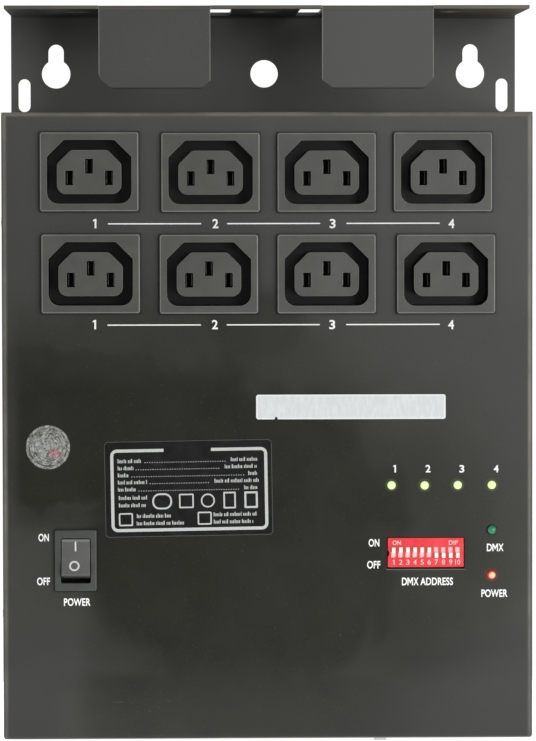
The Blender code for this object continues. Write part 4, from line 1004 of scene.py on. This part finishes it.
# ---------------------------------------------------------------- indicator lamps
for name, (x, z) in LEDS.items():
    if name.startswith("channel"):
        skin, slot = lens(name + "_lens", linear(241, 252, 212), linear(72, 96, 40), 0.96, (x, z), (1.24, 1.72), rim_power=0.3, ring=linear(230, 247, 180)), "green_lens"
    elif name == "dmx_led":
        skin, slot = lens(name + "_lens", linear(30, 120, 70), linear(8, 58, 40), 0.0, (x, z), (1.35, 1.72), (0.1, 0.08), clear=linear(28, 128, 88)), "dark_green_lens"
    else:
        skin, slot = lens(name + "_lens", linear(255, 224, 188), linear(160, 44, 26), 0.97, (x, z), (0.85, 1.45), (0.26, -0.06), clear=linear(180, 80, 54), rim_power=0.35, ring=linear(255, 190, 150)), "amber_lens"
    dome = [(1.72 * sin(radians(t)), 0.2 + 1.5 * cos(radians(t))) for t in range(0, 91, 9)]
    lamp = turned(name + "_lamp", dome + [(1.72, -2.6), (1.95, -2.65), (1.95, -3.55), (1.72, -3.6), (1.72, -6.5), (0, -6.5)], 48, "-Y", (x, FRONT, z))
    dress(lamp, "chassis", skin, [name])

# ---------------------------------------------------------------- prints on the panel
BOLD = 0.022
words = []
for number, cx, cz_ in (("1", -61.07, 71.91), ("2", -18.4, 71.82), ("3", 23.05, 71.73), ("4", 65.11, 71.65), ("1", -61.3, 36.21), ("2", -18.66, 36.11), ("3", 22.86, 36.0), ("4", 64.96, 35.89)):
    words.append((number, cx, cz_, 1.35 if number == "1" else 2.1, 3.3, BOLD))
for number, cx, cz_ in (("1", 44.9, -15.2), ("2", 56.8, -15.2), ("3", 68.8, -15.3), ("4", 81.0, -15.3)):
    words.append((number, cx, cz_, 1.15 if number == "1" else 1.75, 2.67, BOLD))
words += [
    ("ON", -79.5, -39.25, 3.7, 2.75, BOLD),
    ("OFF", -79.6, -54.8, 4.6, 2.75, BOLD),
    ("POWER", -67.7, -62.2, 9.4, 2.75, BOLD),
    ("ON", 37.6, -41.5, 3.8, 2.75, BOLD),
    ("OFF", 37.5, -49.3, 4.7, 2.75, BOLD),
    ("D", 48.4, -55.3, 1.8, 2.75, BOLD), ("M", 50.45, -55.3, 2.0, 2.75, BOLD), ("X", 52.5, -55.3, 1.85, 2.75, BOLD), ("ADDRESS", 59.85, -55.3, 11.6, 2.75, BOLD),
    ("D", 78.6, -43.3, 1.8, 2.7, BOLD), ("M", 80.65, -43.3, 2.0, 2.7, BOLD), ("X", 82.7, -43.3, 1.85, 2.7, BOLD),
    ("POWER", 80.4, -59.6, 9.3, 2.75, BOLD),
]
text = lettering("panel_text", words, WHITE_INK, 0.03)
lines = []
for cz_, spans in ((71.8, ((-56.4, -23.4), (-14.3, 18.7), (27.9, 61.0))), (36.0, ((-56.7, -23.6), (-14.5, 18.5), (27.75, 61.0)))):
    for x0, x1 in spans:
        lines.append(slab("rule", [rounded((x0 + x1) / 2, cz_, x1 - x0, 0.42, 0.2, 3)], "Y", FRONT - 0.03, FRONT))
for part in lines:
    part.data.materials.clear()
    part.data.materials.append(WHITE_INK)
panel_print = merge("panel_print", [text] + lines)
dress(panel_print, "chassis", None, smooth=False)

# ---------------------------------------------------------------- labels
def paper():
    skin = Skin("label_paper", linear(232, 234, 233), 0.42)
    fibres = skin.noise(1, 3, 0.6, 0, skin.stretched((900, 900, 260)))
    tone = skin.mix(skin.ramp(fibres, 0.35, 0.7), linear(213, 217, 219), linear(223, 226, 227))
    x_, y_, z_ = skin.xyz()
    # painted highlight: the film's edge is painted paler, with a trace of dust
    across = skin.math("ABSOLUTE", skin.math("SUBTRACT", x_, 0.02945))
    along = skin.math("ABSOLUTE", skin.math("SUBTRACT", z_, 0.00685))
    rim = skin.math("MAXIMUM", skin.ramp(across, 0.0329, 0.0332), skin.ramp(along, 0.0037, 0.00395))
    tone = skin.mix(skin.math("MULTIPLY", rim, 0.8), tone, linear(240, 242, 242))
    skin.colour(tone)
    skin.rough(skin.ramp(skin.noise(300, 3, 0.6), 0.3, 0.7, 0.36, 0.5, smooth=False))
    skin.bump(skin.noise(1, 2, 0.5, 0, skin.stretched((60, 60, 30))), 0.05)
    return skin.material


title = filleted([(33.6, -4.375, 0.85), (33.6, 4.375, 0.85), (-33.6, 4.375, 0.85), (-33.6, -4.375, 0.85), (-27.05, -4.375, 0), (-26.9, -3.6, 0.1), (-26.1, -3.55, 0.1), (-25.9, -4.375, 0)], 5)
label = slab("title_plate", [title], "Y", -0.2, -0.02, rim_low=0.05, segments=2)
moved(label, 29.45, FRONT, 6.85)
dress(label, "chassis", paper(), ["title_label"])


def black_film():
    skin = Skin("label_black_film", linear(22, 24, 23), 0.34)
    tone = skin.mix(skin.ramp(skin.noise(120, 3, 0.6), 0.35, 0.7), linear(8, 9, 9), linear(15, 17, 16))
    tone = skin.mix(skin.ramp(skin.noise(2200, 2, 0.5), 0.68, 0.78, 0, 0.3), tone, linear(60, 62, 60))
    skin.colour(tone)
    skin.rough(skin.ramp(skin.noise(240, 3, 0.6), 0.3, 0.7, 0.2, 0.28, smooth=False))
    skin.bump(skin.noise(90, 2, 0.5), 0.06)
    return skin.material


FILM_EDGE = ink("film_edge", linear(74, 76, 74), 0.36)
film = slab("rating_film", [rounded(0, 0, 59.4, 34.0, 1.4, 6)], "Y", -0.2, -0.02, rim_low=0.06, segments=2)
film.data.materials.clear()
film.data.materials.append(black_film())
# a silver frame, open at the top, and a plain ruled form: dotted leaders, blank fields and empty boxes
w, h, r, t = 54.5, 28.2, 1.75, 1.1
path = [(-9.0, h / 2), (-w / 2, h / 2, r), (-w / 2, -h / 2, r), (w / 2, -h / 2, r), (w / 2, h / 2, r), (7.6, h / 2)]
outer = filleted([(-8.9, h / 2 + t / 2, 0), (-w / 2 - t / 2, h / 2 + t / 2, r + t / 2), (-w / 2 - t / 2, -h / 2 - t / 2, r + t / 2), (w / 2 + t / 2, -h / 2 - t / 2, r + t / 2), (w / 2 + t / 2, h / 2 + t / 2, r + t / 2), (7.9, h / 2 + t / 2, 0), (7.9, h / 2 - t / 2, 0), (w / 2 - t / 2, h / 2 - t / 2, r - t / 2), (w / 2 - t / 2, -h / 2 + t / 2, r - t / 2), (-w / 2 + t / 2, -h / 2 + t / 2, r - t / 2), (-w / 2 + t / 2, h / 2 - t / 2, r - t / 2), (-8.9, h / 2 - t / 2, 0)], 6)
outer = [(u + 0.24, v - 0.44) for u, v in outer]
marks = [slab("frame_line", [outer], "Y", -0.225, -0.19)]


def stroke_row(x0, x1, z0, tall=1.0, seed=0):
    """A line of blank form filling: groups of short strokes the size of small print, which spell nothing."""
    widths, steps, groups = (0.34, 0.26, 0.4, 0.3, 0.22, 0.36), (0.24, 0.2, 0.26), (6, 3, 8, 5, 4, 7)
    loops, at, k, group, left = [], x0, seed, seed, groups[seed % 6]
    while True:
        wide = widths[k % 6]
        if at + wide > x1:
            break
        high = tall * (1.0 if (k * 7 + seed) % 4 else 1.42)
        loops.append(rect(at, at + wide, z0 - tall / 2, z0 - tall / 2 + high))
        at += wide + steps[k % 3]
        k += 1
        left -= 1
        if left == 0:
            group += 1
            left = groups[group % 6]
            at += 0.42
    return loops


rows = ((9.85, -25.0, -16.2, 15.1, 24.6), (7.35, -25.0, -19.4, 12.9, 24.6), (4.85, -25.0, -20.9, 21.2, 24.6), (2.33, -25.0, -14.5, 9.2, 25.1), (-0.2, -25.0, -18.5, 19.7, 24.6))
loops = []
for k, (zz, x0, x1, x2, x3) in enumerate(rows):
    loops += stroke_row(x0, x1, zz, seed=k)
    loops += stroke_row(x2, x3, zz, seed=k + 3)
    start = x1 + 0.9
    loops += [circle(start + 0.86 * n, zz - 0.44, 0.17, 10) for n in range(int((x2 - 0.7 - start) / 0.86))]
loops += stroke_row(-24.8, -14.8, -3.18, seed=2) + stroke_row(-24.8, -14.4, -5.82, seed=5)
loops += stroke_row(-18.5, -6.1, -9.7, seed=1) + stroke_row(-18.6, -1.5, -12.3, seed=4)
loops += stroke_row(8.7, 23.9, -9.6, seed=0) + stroke_row(8.7, 22.8, -12.2, seed=3)
marks.append(slab("print", loops, "Y", -0.222, -0.19))
# empty boxes and rounds, as blank fields
for cx, wide, high, round_, line in ((-9.46, 7.0, 5.7, 2.6, 0.62), (-0.88, 5.2, 5.1, 0.4, 0.5), (6.73, 4.95, 4.95, 2.4, 0.5), (14.44, 4.4, 5.9, 0.3, 0.55), (22.05, 4.75, 5.9, 0.3, 0.7)):
    marks.append(slab("field", [rounded(cx, -4.45, wide, high, round_, 6), rounded(cx, -4.45, wide - 2 * line, high - 2 * line, max(round_ - line, 0.1), 6)], "Y", -0.222, -0.19))
for cx in (-22.4, 5.5):
    marks.append(slab("field", [rounded(cx, -10.7, 5.0, 4.6, 0.5, 4), rounded(cx, -10.7, 4.0, 3.6, 0.2, 3)], "Y", -0.222, -0.19))
for part in marks:
    part.data.materials.clear()
    part.data.materials.append(SILVER_INK)
edge_line = slab("film_edge", [rounded(0, 0, 59.36, 33.96, 1.38, 6), rounded(0, 0, 58.9, 33.5, 1.2, 6)], "Y", -0.215, -0.19)
edge_line.data.materials.append(FILM_EDGE)
film = merge("rating_plate", [film, edge_line] + marks)
moved(film, -28.1, FRONT, -21.9, Matrix.Rotation(radians(-0.9), 4, "Y"))
dress(film, "chassis", None, ["rating_label"], smooth=True)


def foil():
    """Silver diffracting foil: blurred pressed rings and rays in changing greys, a dark ring and a faint pink patch."""
    skin = Skin("foil", linear(150, 151, 148), 0.4, 0.6)
    centred = skin.stretched((1, 1, 1), (0.0778, 0, 0.0072))
    x_, y_, z_ = skin.xyz(centred)
    away = skin.math("SQRT", skin.math("ADD", skin.math("MULTIPLY", x_, x_), skin.math("MULTIPLY", z_, z_)))
    turn_ = skin.math("ARCTAN2", z_, x_)
    stir = skin.math("MULTIPLY", skin.noise(330, 3, 0.6, 0.8), 5.0)
    rays = skin.math("SINE", skin.math("ADD", skin.math("MULTIPLY", turn_, 9), skin.math("ADD", skin.math("MULTIPLY", away, 1500), stir)))
    rings = skin.math("SINE", skin.math("ADD", skin.math("MULTIPLY", away, 6800), stir))
    patch = skin.noise(640, 4, 0.7, 1.4)
    grain = skin.noise(1900, 2, 0.6)
    weave = skin.math("ADD", skin.math("MULTIPLY", rays, 0.15), skin.math("ADD", skin.math("MULTIPLY", rings, 0.12), skin.math("ADD", skin.ramp(patch, 0.3, 0.7, -0.7, 0.7, smooth=False), skin.ramp(grain, 0.3, 0.7, -0.3, 0.3, smooth=False))))
    tone = skin.mix(skin.ramp(weave, -0.8, 0.85), linear(84, 85, 80), linear(186, 188, 183))
    for radius, amount in ((0.00655, 0.85), (0.0049, 0.4)):
        line = skin.math("MULTIPLY", skin.ramp(away, radius - 0.00036, radius - 0.00012), skin.ramp(away, radius + 0.00036, radius + 0.00012))
        broken = skin.math("MULTIPLY", line, skin.ramp(skin.noise(420, 2, 0.6), 0.35, 0.6, 0.3, 1.0))
        tone = skin.mix(skin.math("MULTIPLY", broken, amount), tone, linear(62, 62, 60))
    pink = skin.math("MULTIPLY", skin.ramp(skin.oval(-75.4, -9.4, 2.8, 2.0), 1.2, 0.5), skin.ramp(skin.noise(900, 2, 0.6), 0.35, 0.6))
    tone = skin.mix(skin.math("MULTIPLY", pink, 0.55), tone, linear(205, 120, 128))
    cast = skin.ramp(skin.noise(230, 2, 0.5), 0.55, 0.75, 0, 0.3)
    tone = skin.mix(cast, tone, linear(176, 168, 184))
    skin.colour(tone)
    skin.rough(skin.ramp(patch, 0.3, 0.7, 0.32, 0.52, smooth=False))
    skin.bump(weave, 0.012)
    return skin.material


seal = slab("foil_seal", [circle(0, 0, 7.8, 72)], "Y", -0.2, -0.02, rim_low=0.05, segments=2)
moved(seal, -77.85, FRONT, -7.2)
dress(seal, "chassis", foil(), ["inspection_sticker"])

# ---------------------------------------------------------------- data connectors under the case
FACE = rounded(0, 0, 26.0, 31.0, 3.2, 8)
PINS = [(4.2 * cos(radians(t)), 4.2 * sin(radians(t))) for t in (15, 165, 270)]
SCREWS = ((-9.5, 12.0), (9.5, -12.0))


def pan_head(name, at, axis, r=2.6, h=1.0):
    head = turned(name, [(0, h)] + [(r * sin(radians(t)) * 0.98, h * (0.35 + 0.65 * cos(radians(t)))) for t in (20, 40, 60, 80)] + [(r, h * 0.3), (r, 0), (0, 0)], 36, axis, at)
    return head


def socket_face(name):
    made = slab(name, [FACE], "Z", -1.9, -0.02, rim_low=0.35, segments=3)
    join(made, turned(name + "_barrel", [(0, -0.8), (11.7, -0.8), (11.7, 21.6), (11.3, 22), (0, 22)], 64))
    return made


def cross_recess(piece, x, y, z0, r, depth):
    """A cross-head recess sunk in a head that faces down."""
    return cut(piece, box("cross_a", (x - r, x + r), (y - 0.28, y + 0.28), (z0 - 1.0, z0 + depth)), box("cross_b", (x - 0.28, x + 0.28), (y - r, y + r), (z0 - 1.0, z0 + depth)))


male = socket_face("dmx_in")
cut(male, turned("male_well", [(0, -4), (9.9, -4), (9.9, -1.5), (9.5, -1.1), (9.5, 15.5), (0, 15.5)], 64))
soften(male, 0.15, 2, 40)
male.data.materials.clear()
male.data.materials.append(CONNECTOR_SKIN)
pins = [turned("pin", [(0, 2.0), (0.55, 2.05), (1.0, 2.4), (1.2, 2.9), (1.2, 17), (0, 17)], 24, "Z", (px, py, 0)) for px, py in PINS]
heads_ = []
for sx, sy in SCREWS:
    head = turned("flange_screw", [(0, -2.55), (1.2, -2.5), (2.0, -2.3), (2.35, -1.95), (2.4, -1.75), (0, -1.75)], 36, "Z", (sx, sy, 0))
    heads_.append(cross_recess(head, sx, sy, -2.6, 1.3, 0.45))
for part in pins:
    part.data.materials.clear()
    part.data.materials.append(NICKEL)
for part in heads_:
    part.data.materials.clear()
    part.data.materials.append(ZINC)
male = merge("data_in_socket", [male] + pins + heads_)
moved(male, DMX_IN_X, CONNECTOR_Y, BOTTOM)
dress(male, "chassis", None, ["dmx_in_socket"])

female = socket_face("dmx_out")
join(female, box("latch_guide", (-3.5, 3.5), (-14.4, -8.0), (-1.0, 14.0)))
ring = [circle(0, 0, 9.6, 64), circle(0, 0, 7.8, 56)]
cut(female, slab("female_groove", ring, "Z", -4, 14.0))
cut(female, slab("female_contacts", [circle(px, py, 1.5, 24) for px, py in PINS], "Z", -4, 12.0))
cut(female, box("latch_way", (-2.5, 2.5), (-13.3, -10.6), (-4, 11.0)))
soften(female, 0.13, 2, 40)
female.data.materials.clear()
female.data.materials.append(CONNECTOR_SKIN)
sleeves = [slab("sleeve", [circle(px, py, 1.42, 24), circle(px, py, 1.15, 24)], "Z", 0.6, 11.5) for px, py in PINS]
heads_ = []
for sx, sy in SCREWS:
    head = turned("flange_screw", [(0, -2.55), (1.2, -2.5), (2.0, -2.3), (2.35, -1.95), (2.4, -1.75), (0, -1.75)], 36, "Z", (sx, sy, 0))
    heads_.append(cross_recess(head, sx, sy, -2.6, 1.3, 0.45))
for part in sleeves:
    part.data.materials.clear()
    part.data.materials.append(NICKEL)
for part in heads_:
    part.data.materials.clear()
    part.data.materials.append(ZINC)
female = merge("data_out_socket", [female] + sleeves + heads_)
moved(female, DMX_OUT_X, CONNECTOR_Y, BOTTOM)
dress(female, "chassis", None, ["dmx_out_socket"])

tongue = slab("release_latch", [filleted([(-13.0, 8.0, 0), (-13.0, -2.4, 0.6), (-12.5, -3.5, 0.4), (-11.4, -3.5, 0.4), (-10.9, -2.4, 0.6), (-10.9, 8.0, 0)], 4)], "X", -2.2, 2.2, rim_low=0.25, rim_high=0.25, segments=2)
moved(tongue, DMX_OUT_X, CONNECTOR_Y, BOTTOM)
dress(tongue, "dmx_out_latch", ZINC, ["dmx_out_latch"])

# ---------------------------------------------------------------- mains inlet and its fuse drawer
inlet = slab("inlet", [rounded(0, -33.0, 30.0, 33.0, 2.0, 6)], "Z", -1.9, -0.02, rim_low=0.5, segments=3)
join(inlet, box("inlet_body", (-13.7, 13.7), (-48.2, -17.8), (-1.0, 24.0)))
cut(inlet, slab("inlet_well", [appliance(0, -27.2, 24.6, 16.6, 4.6, 2.4, 0.8)], "Z", -4, 16.0))
cut(inlet, box("drawer_way", (-12.5, 12.5), (-46.3, -37.7), (-4, 21.5)))
soften(inlet, 0.2, 2, 40)
inlet.data.materials.clear()
inlet.data.materials.append(CONNECTOR_SKIN)
blades = [box("blade", (bx - 1.0, bx + 1.0), (by - 2.0, by + 2.0), (1.5, 17.5), 0.35, 3) for bx, by in ((-7.0, -29.2), (7.0, -29.2), (0.0, -25.2))]
for part in blades:
    part.data.materials.clear()
    part.data.materials.append(NICKEL)
inlet = merge("mains_inlet_body", [inlet] + blades)
moved(inlet, INLET_X, 0, BOTTOM)
dress(inlet, "chassis", None, ["mains_inlet"])

drawer = box("drawer", (-12.2, 12.2), (-46.0, -38.0), (-1.9, 20.5))
cut(drawer, box("fuse_bed", (-10.7, 10.7), (-45.0, -39.0), (8.0, 22.0)))
cut(drawer, box("drawer_grip", (-4.0, 4.0), (-47.0, -44.0), (-2.9, -0.7)))
soften(drawer, 0.25, 2, 40)
moved(drawer, INLET_X, 0, BOTTOM)
drawer.name = "fuse_drawer_body"
dress(drawer, "fuse_drawer", CONNECTOR_SKIN, ["fuse_drawer"])

# ---------------------------------------------------------------- side screws
count = 0
for side in (-1, 1):
    for zz in SCREW_Z:
        count += 1
        profile = [(0, 2.5)] + [(3.8 * sin(radians(t)), 0.75 + 1.75 * cos(radians(t))) for t in (12, 24, 36, 48, 60, 72, 82, 90)] + [(3.8, 0.1), (3.7, 0.0), (1.95, 0.0), (1.95, -7.4), (1.4, -8.0), (0, -8.0)]
        head = turned(f"case_screw_{count}", profile, 40)
        cut(head, slab("cross", [filleted([(2.1, -0.42, 0.1), (2.1, 0.42, 0.1), (0.62, 0.62, 0.25), (0.42, 2.1, 0.1), (-0.42, 2.1, 0.1), (-0.62, 0.62, 0.25), (-2.1, 0.42, 0.1), (-2.1, -0.42, 0.1), (-0.62, -0.62, 0.25), (-0.42, -2.1, 0.1), (0.42, -2.1, 0.1), (0.62, -0.62, 0.25)], 2)], "Z", 0.9, 3.5))
        soften(head, 0.06, 1, 50)
        spin = Matrix.Rotation(radians(17 + 31 * count), 4, "Z")
        head.data.transform(Matrix.Translation(Vector((side * 94.0, SCREW_Y, zz)) * MM) @ Matrix.Rotation(side * radians(90), 4, "Y") @ spin)
        dress(head, "chassis", ZINC, [f"side_screw_{count}"])

# ---------------------------------------------------------------- inner pieces keep their shapes and get finishes
def laminate(name, copper=True):
    """Solder mask over copper tracks, with pads."""
    skin = Skin(name, linear(18, 92, 44), 0.32)
    tracks = skin.node("ShaderNodeTexBrick")
    tracks.inputs["Scale"].default_value = 90
    tracks.inputs["Mortar Size"].default_value = 0.16
    skin.link(skin.stretched((1, 0.0, 1)), tracks.inputs["Vector"])
    swap = skin.node("ShaderNodeCombineXYZ")
    x_, y_, z_ = skin.xyz()
    skin.link(x_, swap.inputs[0])
    skin.link(z_, swap.inputs[1])
    skin.link(swap.outputs[0], tracks.inputs["Vector"])
    tone = skin.mix(tracks.outputs["Fac"], linear(14, 78, 38), linear(30, 118, 58))
    pads = skin.ramp(skin.cells(260, at=swap.outputs[0], randomness=0.35), 0.16, 0.2, 1.0, 0.0)
    tone = skin.mix(pads, tone, linear(190, 190, 178))
    skin.colour(tone)
    skin.rough(skin.ramp(skin.noise(300, 3, 0.6), 0.3, 0.7, 0.25, 0.42, smooth=False))
    skin.bump(tracks.outputs["Fac"], 0.035)
    return skin.material


BOARD = laminate("board_laminate")
INNER = {
    "control_board": BOARD, "relay_board": BOARD,
    "controller_chip": moulded("chip_epoxy", linear(24, 24, 25), linear(34, 34, 35), 0.5, 0.01),
    "mains_transformer": plated("laminations", (0.24, 0.24, 0.25), 0.42, (0.2, 2.4, 0.2), (0.12, 0.09, 0.07)),
    "smoothing_capacitor": moulded("capacitor_sleeve", linear(22, 24, 46), linear(30, 32, 58), 0.28, 0.002),
    "mains_terminal_block": moulded("terminal_plastic", linear(30, 120, 58), linear(38, 134, 66), 0.42, 0.006),
    "ribbon_cable": moulded("ribbon_jacket", linear(150, 152, 156), linear(166, 168, 172), 0.5, 0.006),
    "earth_stud": BRASS,
    "fuse": moulded("fuse_glass", linear(205, 214, 214), linear(222, 228, 228), 0.14, 0.001),
}
for k in range(1, 5):
    INNER[f"relay_{k}"] = None
    INNER[f"relay_board_standoff_{k}"] = ZINC
INNER["control_board_standoff_1"] = INNER["control_board_standoff_2"] = ZINC
RELAY = moulded("relay_shell", linear(28, 74, 160), linear(38, 88, 176), 0.34, 0.004)
for name, skin in INNER.items():
    node = frame["nodes"][name]
    node.data.materials.clear()
    node.data.materials.append(skin or RELAY)

# ---------------------------------------------------------------- camera
YAW, PITCH, ROLL = -0.020955, -0.043087, 0.0018599
turn = Matrix.Rotation(YAW, 4, "Z") @ Matrix.Rotation(PITCH, 4, "X") @ Matrix.Rotation(ROLL, 4, "Y")
lens_data = bpy.data.cameras.new("camera")
lens_data.lens = 216.48
lens_data.sensor_width = 36.0
lens_data.clip_start, lens_data.clip_end = 0.05, 60.0
camera = bpy.data.objects.new("camera", lens_data)
scene.collection.objects.link(camera)
camera.matrix_world = Matrix.Translation(Vector((-32.93, -1645.40, 87.75)) * MM) @ turn @ Matrix.Rotation(radians(90), 4, "X")
scene.camera = camera

# ---------------------------------------------------------------- floor, world and lights
def floor_skin():
    """A white light table: pale matt acrylic, lit from below."""
    skin = Skin("floor_acrylic", (0.8, 0.8, 0.795), 0.75, 0.0, Emission_Strength=0.86)
    skin.shader.inputs["Emission Color"].default_value = (1, 1, 0.995, 1)
    skin.colour(skin.mix(skin.ramp(skin.noise(3, 3, 0.5), 0.3, 0.7), (0.79, 0.79, 0.785), (0.82, 0.82, 0.815)))
    skin.bump(skin.noise(240, 2, 0.5), 0.02)
    seen_by = skin.node("ShaderNodeLightPath").outputs["Is Camera Ray"]
    skin.feed(skin.shader.inputs["Emission Strength"], skin.ramp(seen_by, 0.0, 1.0, 0.86, 1.0, smooth=False))
    # one-way: the underside of the object stays in sight from below
    through = skin.node("ShaderNodeBsdfTransparent")
    choice = skin.node("ShaderNodeMixShader")
    skin.link(skin.node("ShaderNodeNewGeometry").outputs["Backfacing"], choice.inputs[0])
    skin.link(skin.shader.outputs[0], choice.inputs[1])
    skin.link(through.outputs[0], choice.inputs[2])
    skin.link(choice.outputs[0], skin.tree.nodes["Material Output"].inputs["Surface"])
    return skin.material


bm = bmesh.new()
bmesh.ops.create_circle(bm, cap_ends=True, segments=96, radius=0.21)
floor = object_of("floor", bm)
floor.location = (0, -0.035, CAD_BOX[0][2] - 0.0002)
floor.data.materials.append(floor_skin())
WORK.objects.unlink(floor)
scene.collection.objects.link(floor)

world = bpy.data.worlds.new("studio")
scene.world = world
world.use_nodes = True
tree = world.node_tree
tree.nodes.clear()
out = tree.nodes.new("ShaderNodeOutputWorld")
seen = tree.nodes.new("ShaderNodeBackground")
seen.inputs[0].default_value = (1, 1, 1, 1)
seen.inputs[1].default_value = 1.05
lit = tree.nodes.new("ShaderNodeBackground")
lit.inputs[0].default_value = (1.0, 1.0, 0.965, 1)
lit.inputs[1].default_value = 0.25
path = tree.nodes.new("ShaderNodeLightPath")
choose = tree.nodes.new("ShaderNodeMixShader")
tree.links.new(path.outputs["Is Camera Ray"], choose.inputs[0])
tree.links.new(lit.outputs[0], choose.inputs[1])
tree.links.new(seen.outputs[0], choose.inputs[2])
tree.links.new(choose.outputs[0], out.inputs[0])


def area(name, at, aim, size, power, colour=(1, 1, 1), camera_sees=False):
    data = bpy.data.lights.new(name, "AREA")
    data.shape = "RECTANGLE"
    data.size, data.size_y = size
    data.energy = power
    data.color = colour
    made = bpy.data.objects.new(name, data)
    scene.collection.objects.link(made)
    made.location = at
    made.rotation_mode = "QUATERNION"
    made.rotation_quaternion = (Vector(aim) - Vector(at)).to_track_quat("-Z", "Y")
    made.visible_camera = camera_sees
    return made


AIM = (0.0, -0.04, 0.02)
# name: azimuth from the front, elevation, distance, size, power
LIGHTS = {
    "key_right": (30, 5, 1.4, 0.84, 8.4),
    "side_right": (70, 5, 1.4, 0.84, 2.9),
    "left": (-42, 5, 1.4, 0.84, 2.45),
    "side_left": (-80, 5, 1.4, 0.84, 1.5),
    "front_high": (0, 30, 1.4, 0.84, 0.92),
    "overhead": (0, 85, 1.4, 0.84, 1.25),
    "back_right": (150, 40, 1.4, 0.84, 2.5),
    "back_left": (-150, 40, 1.4, 0.84, 2.5),
    "back": (180, 20, 1.4, 0.84, 1.0),
}
for name, (azimuth, elevation, distance, size, power) in LIGHTS.items():
    az, el = radians(azimuth), radians(elevation)
    at = Vector(AIM) + distance * Vector((sin(az) * cos(el), -cos(az) * cos(el), sin(el)))
    area(name, tuple(at), AIM, (size, size), power * 1.13)

# ---------------------------------------------------------------- end
for left in list(WORK.objects):
    bpy.data.objects.remove(left, do_unlink=True)
bpy.data.collections.remove(WORK)
bpy.context.view_layer.update()
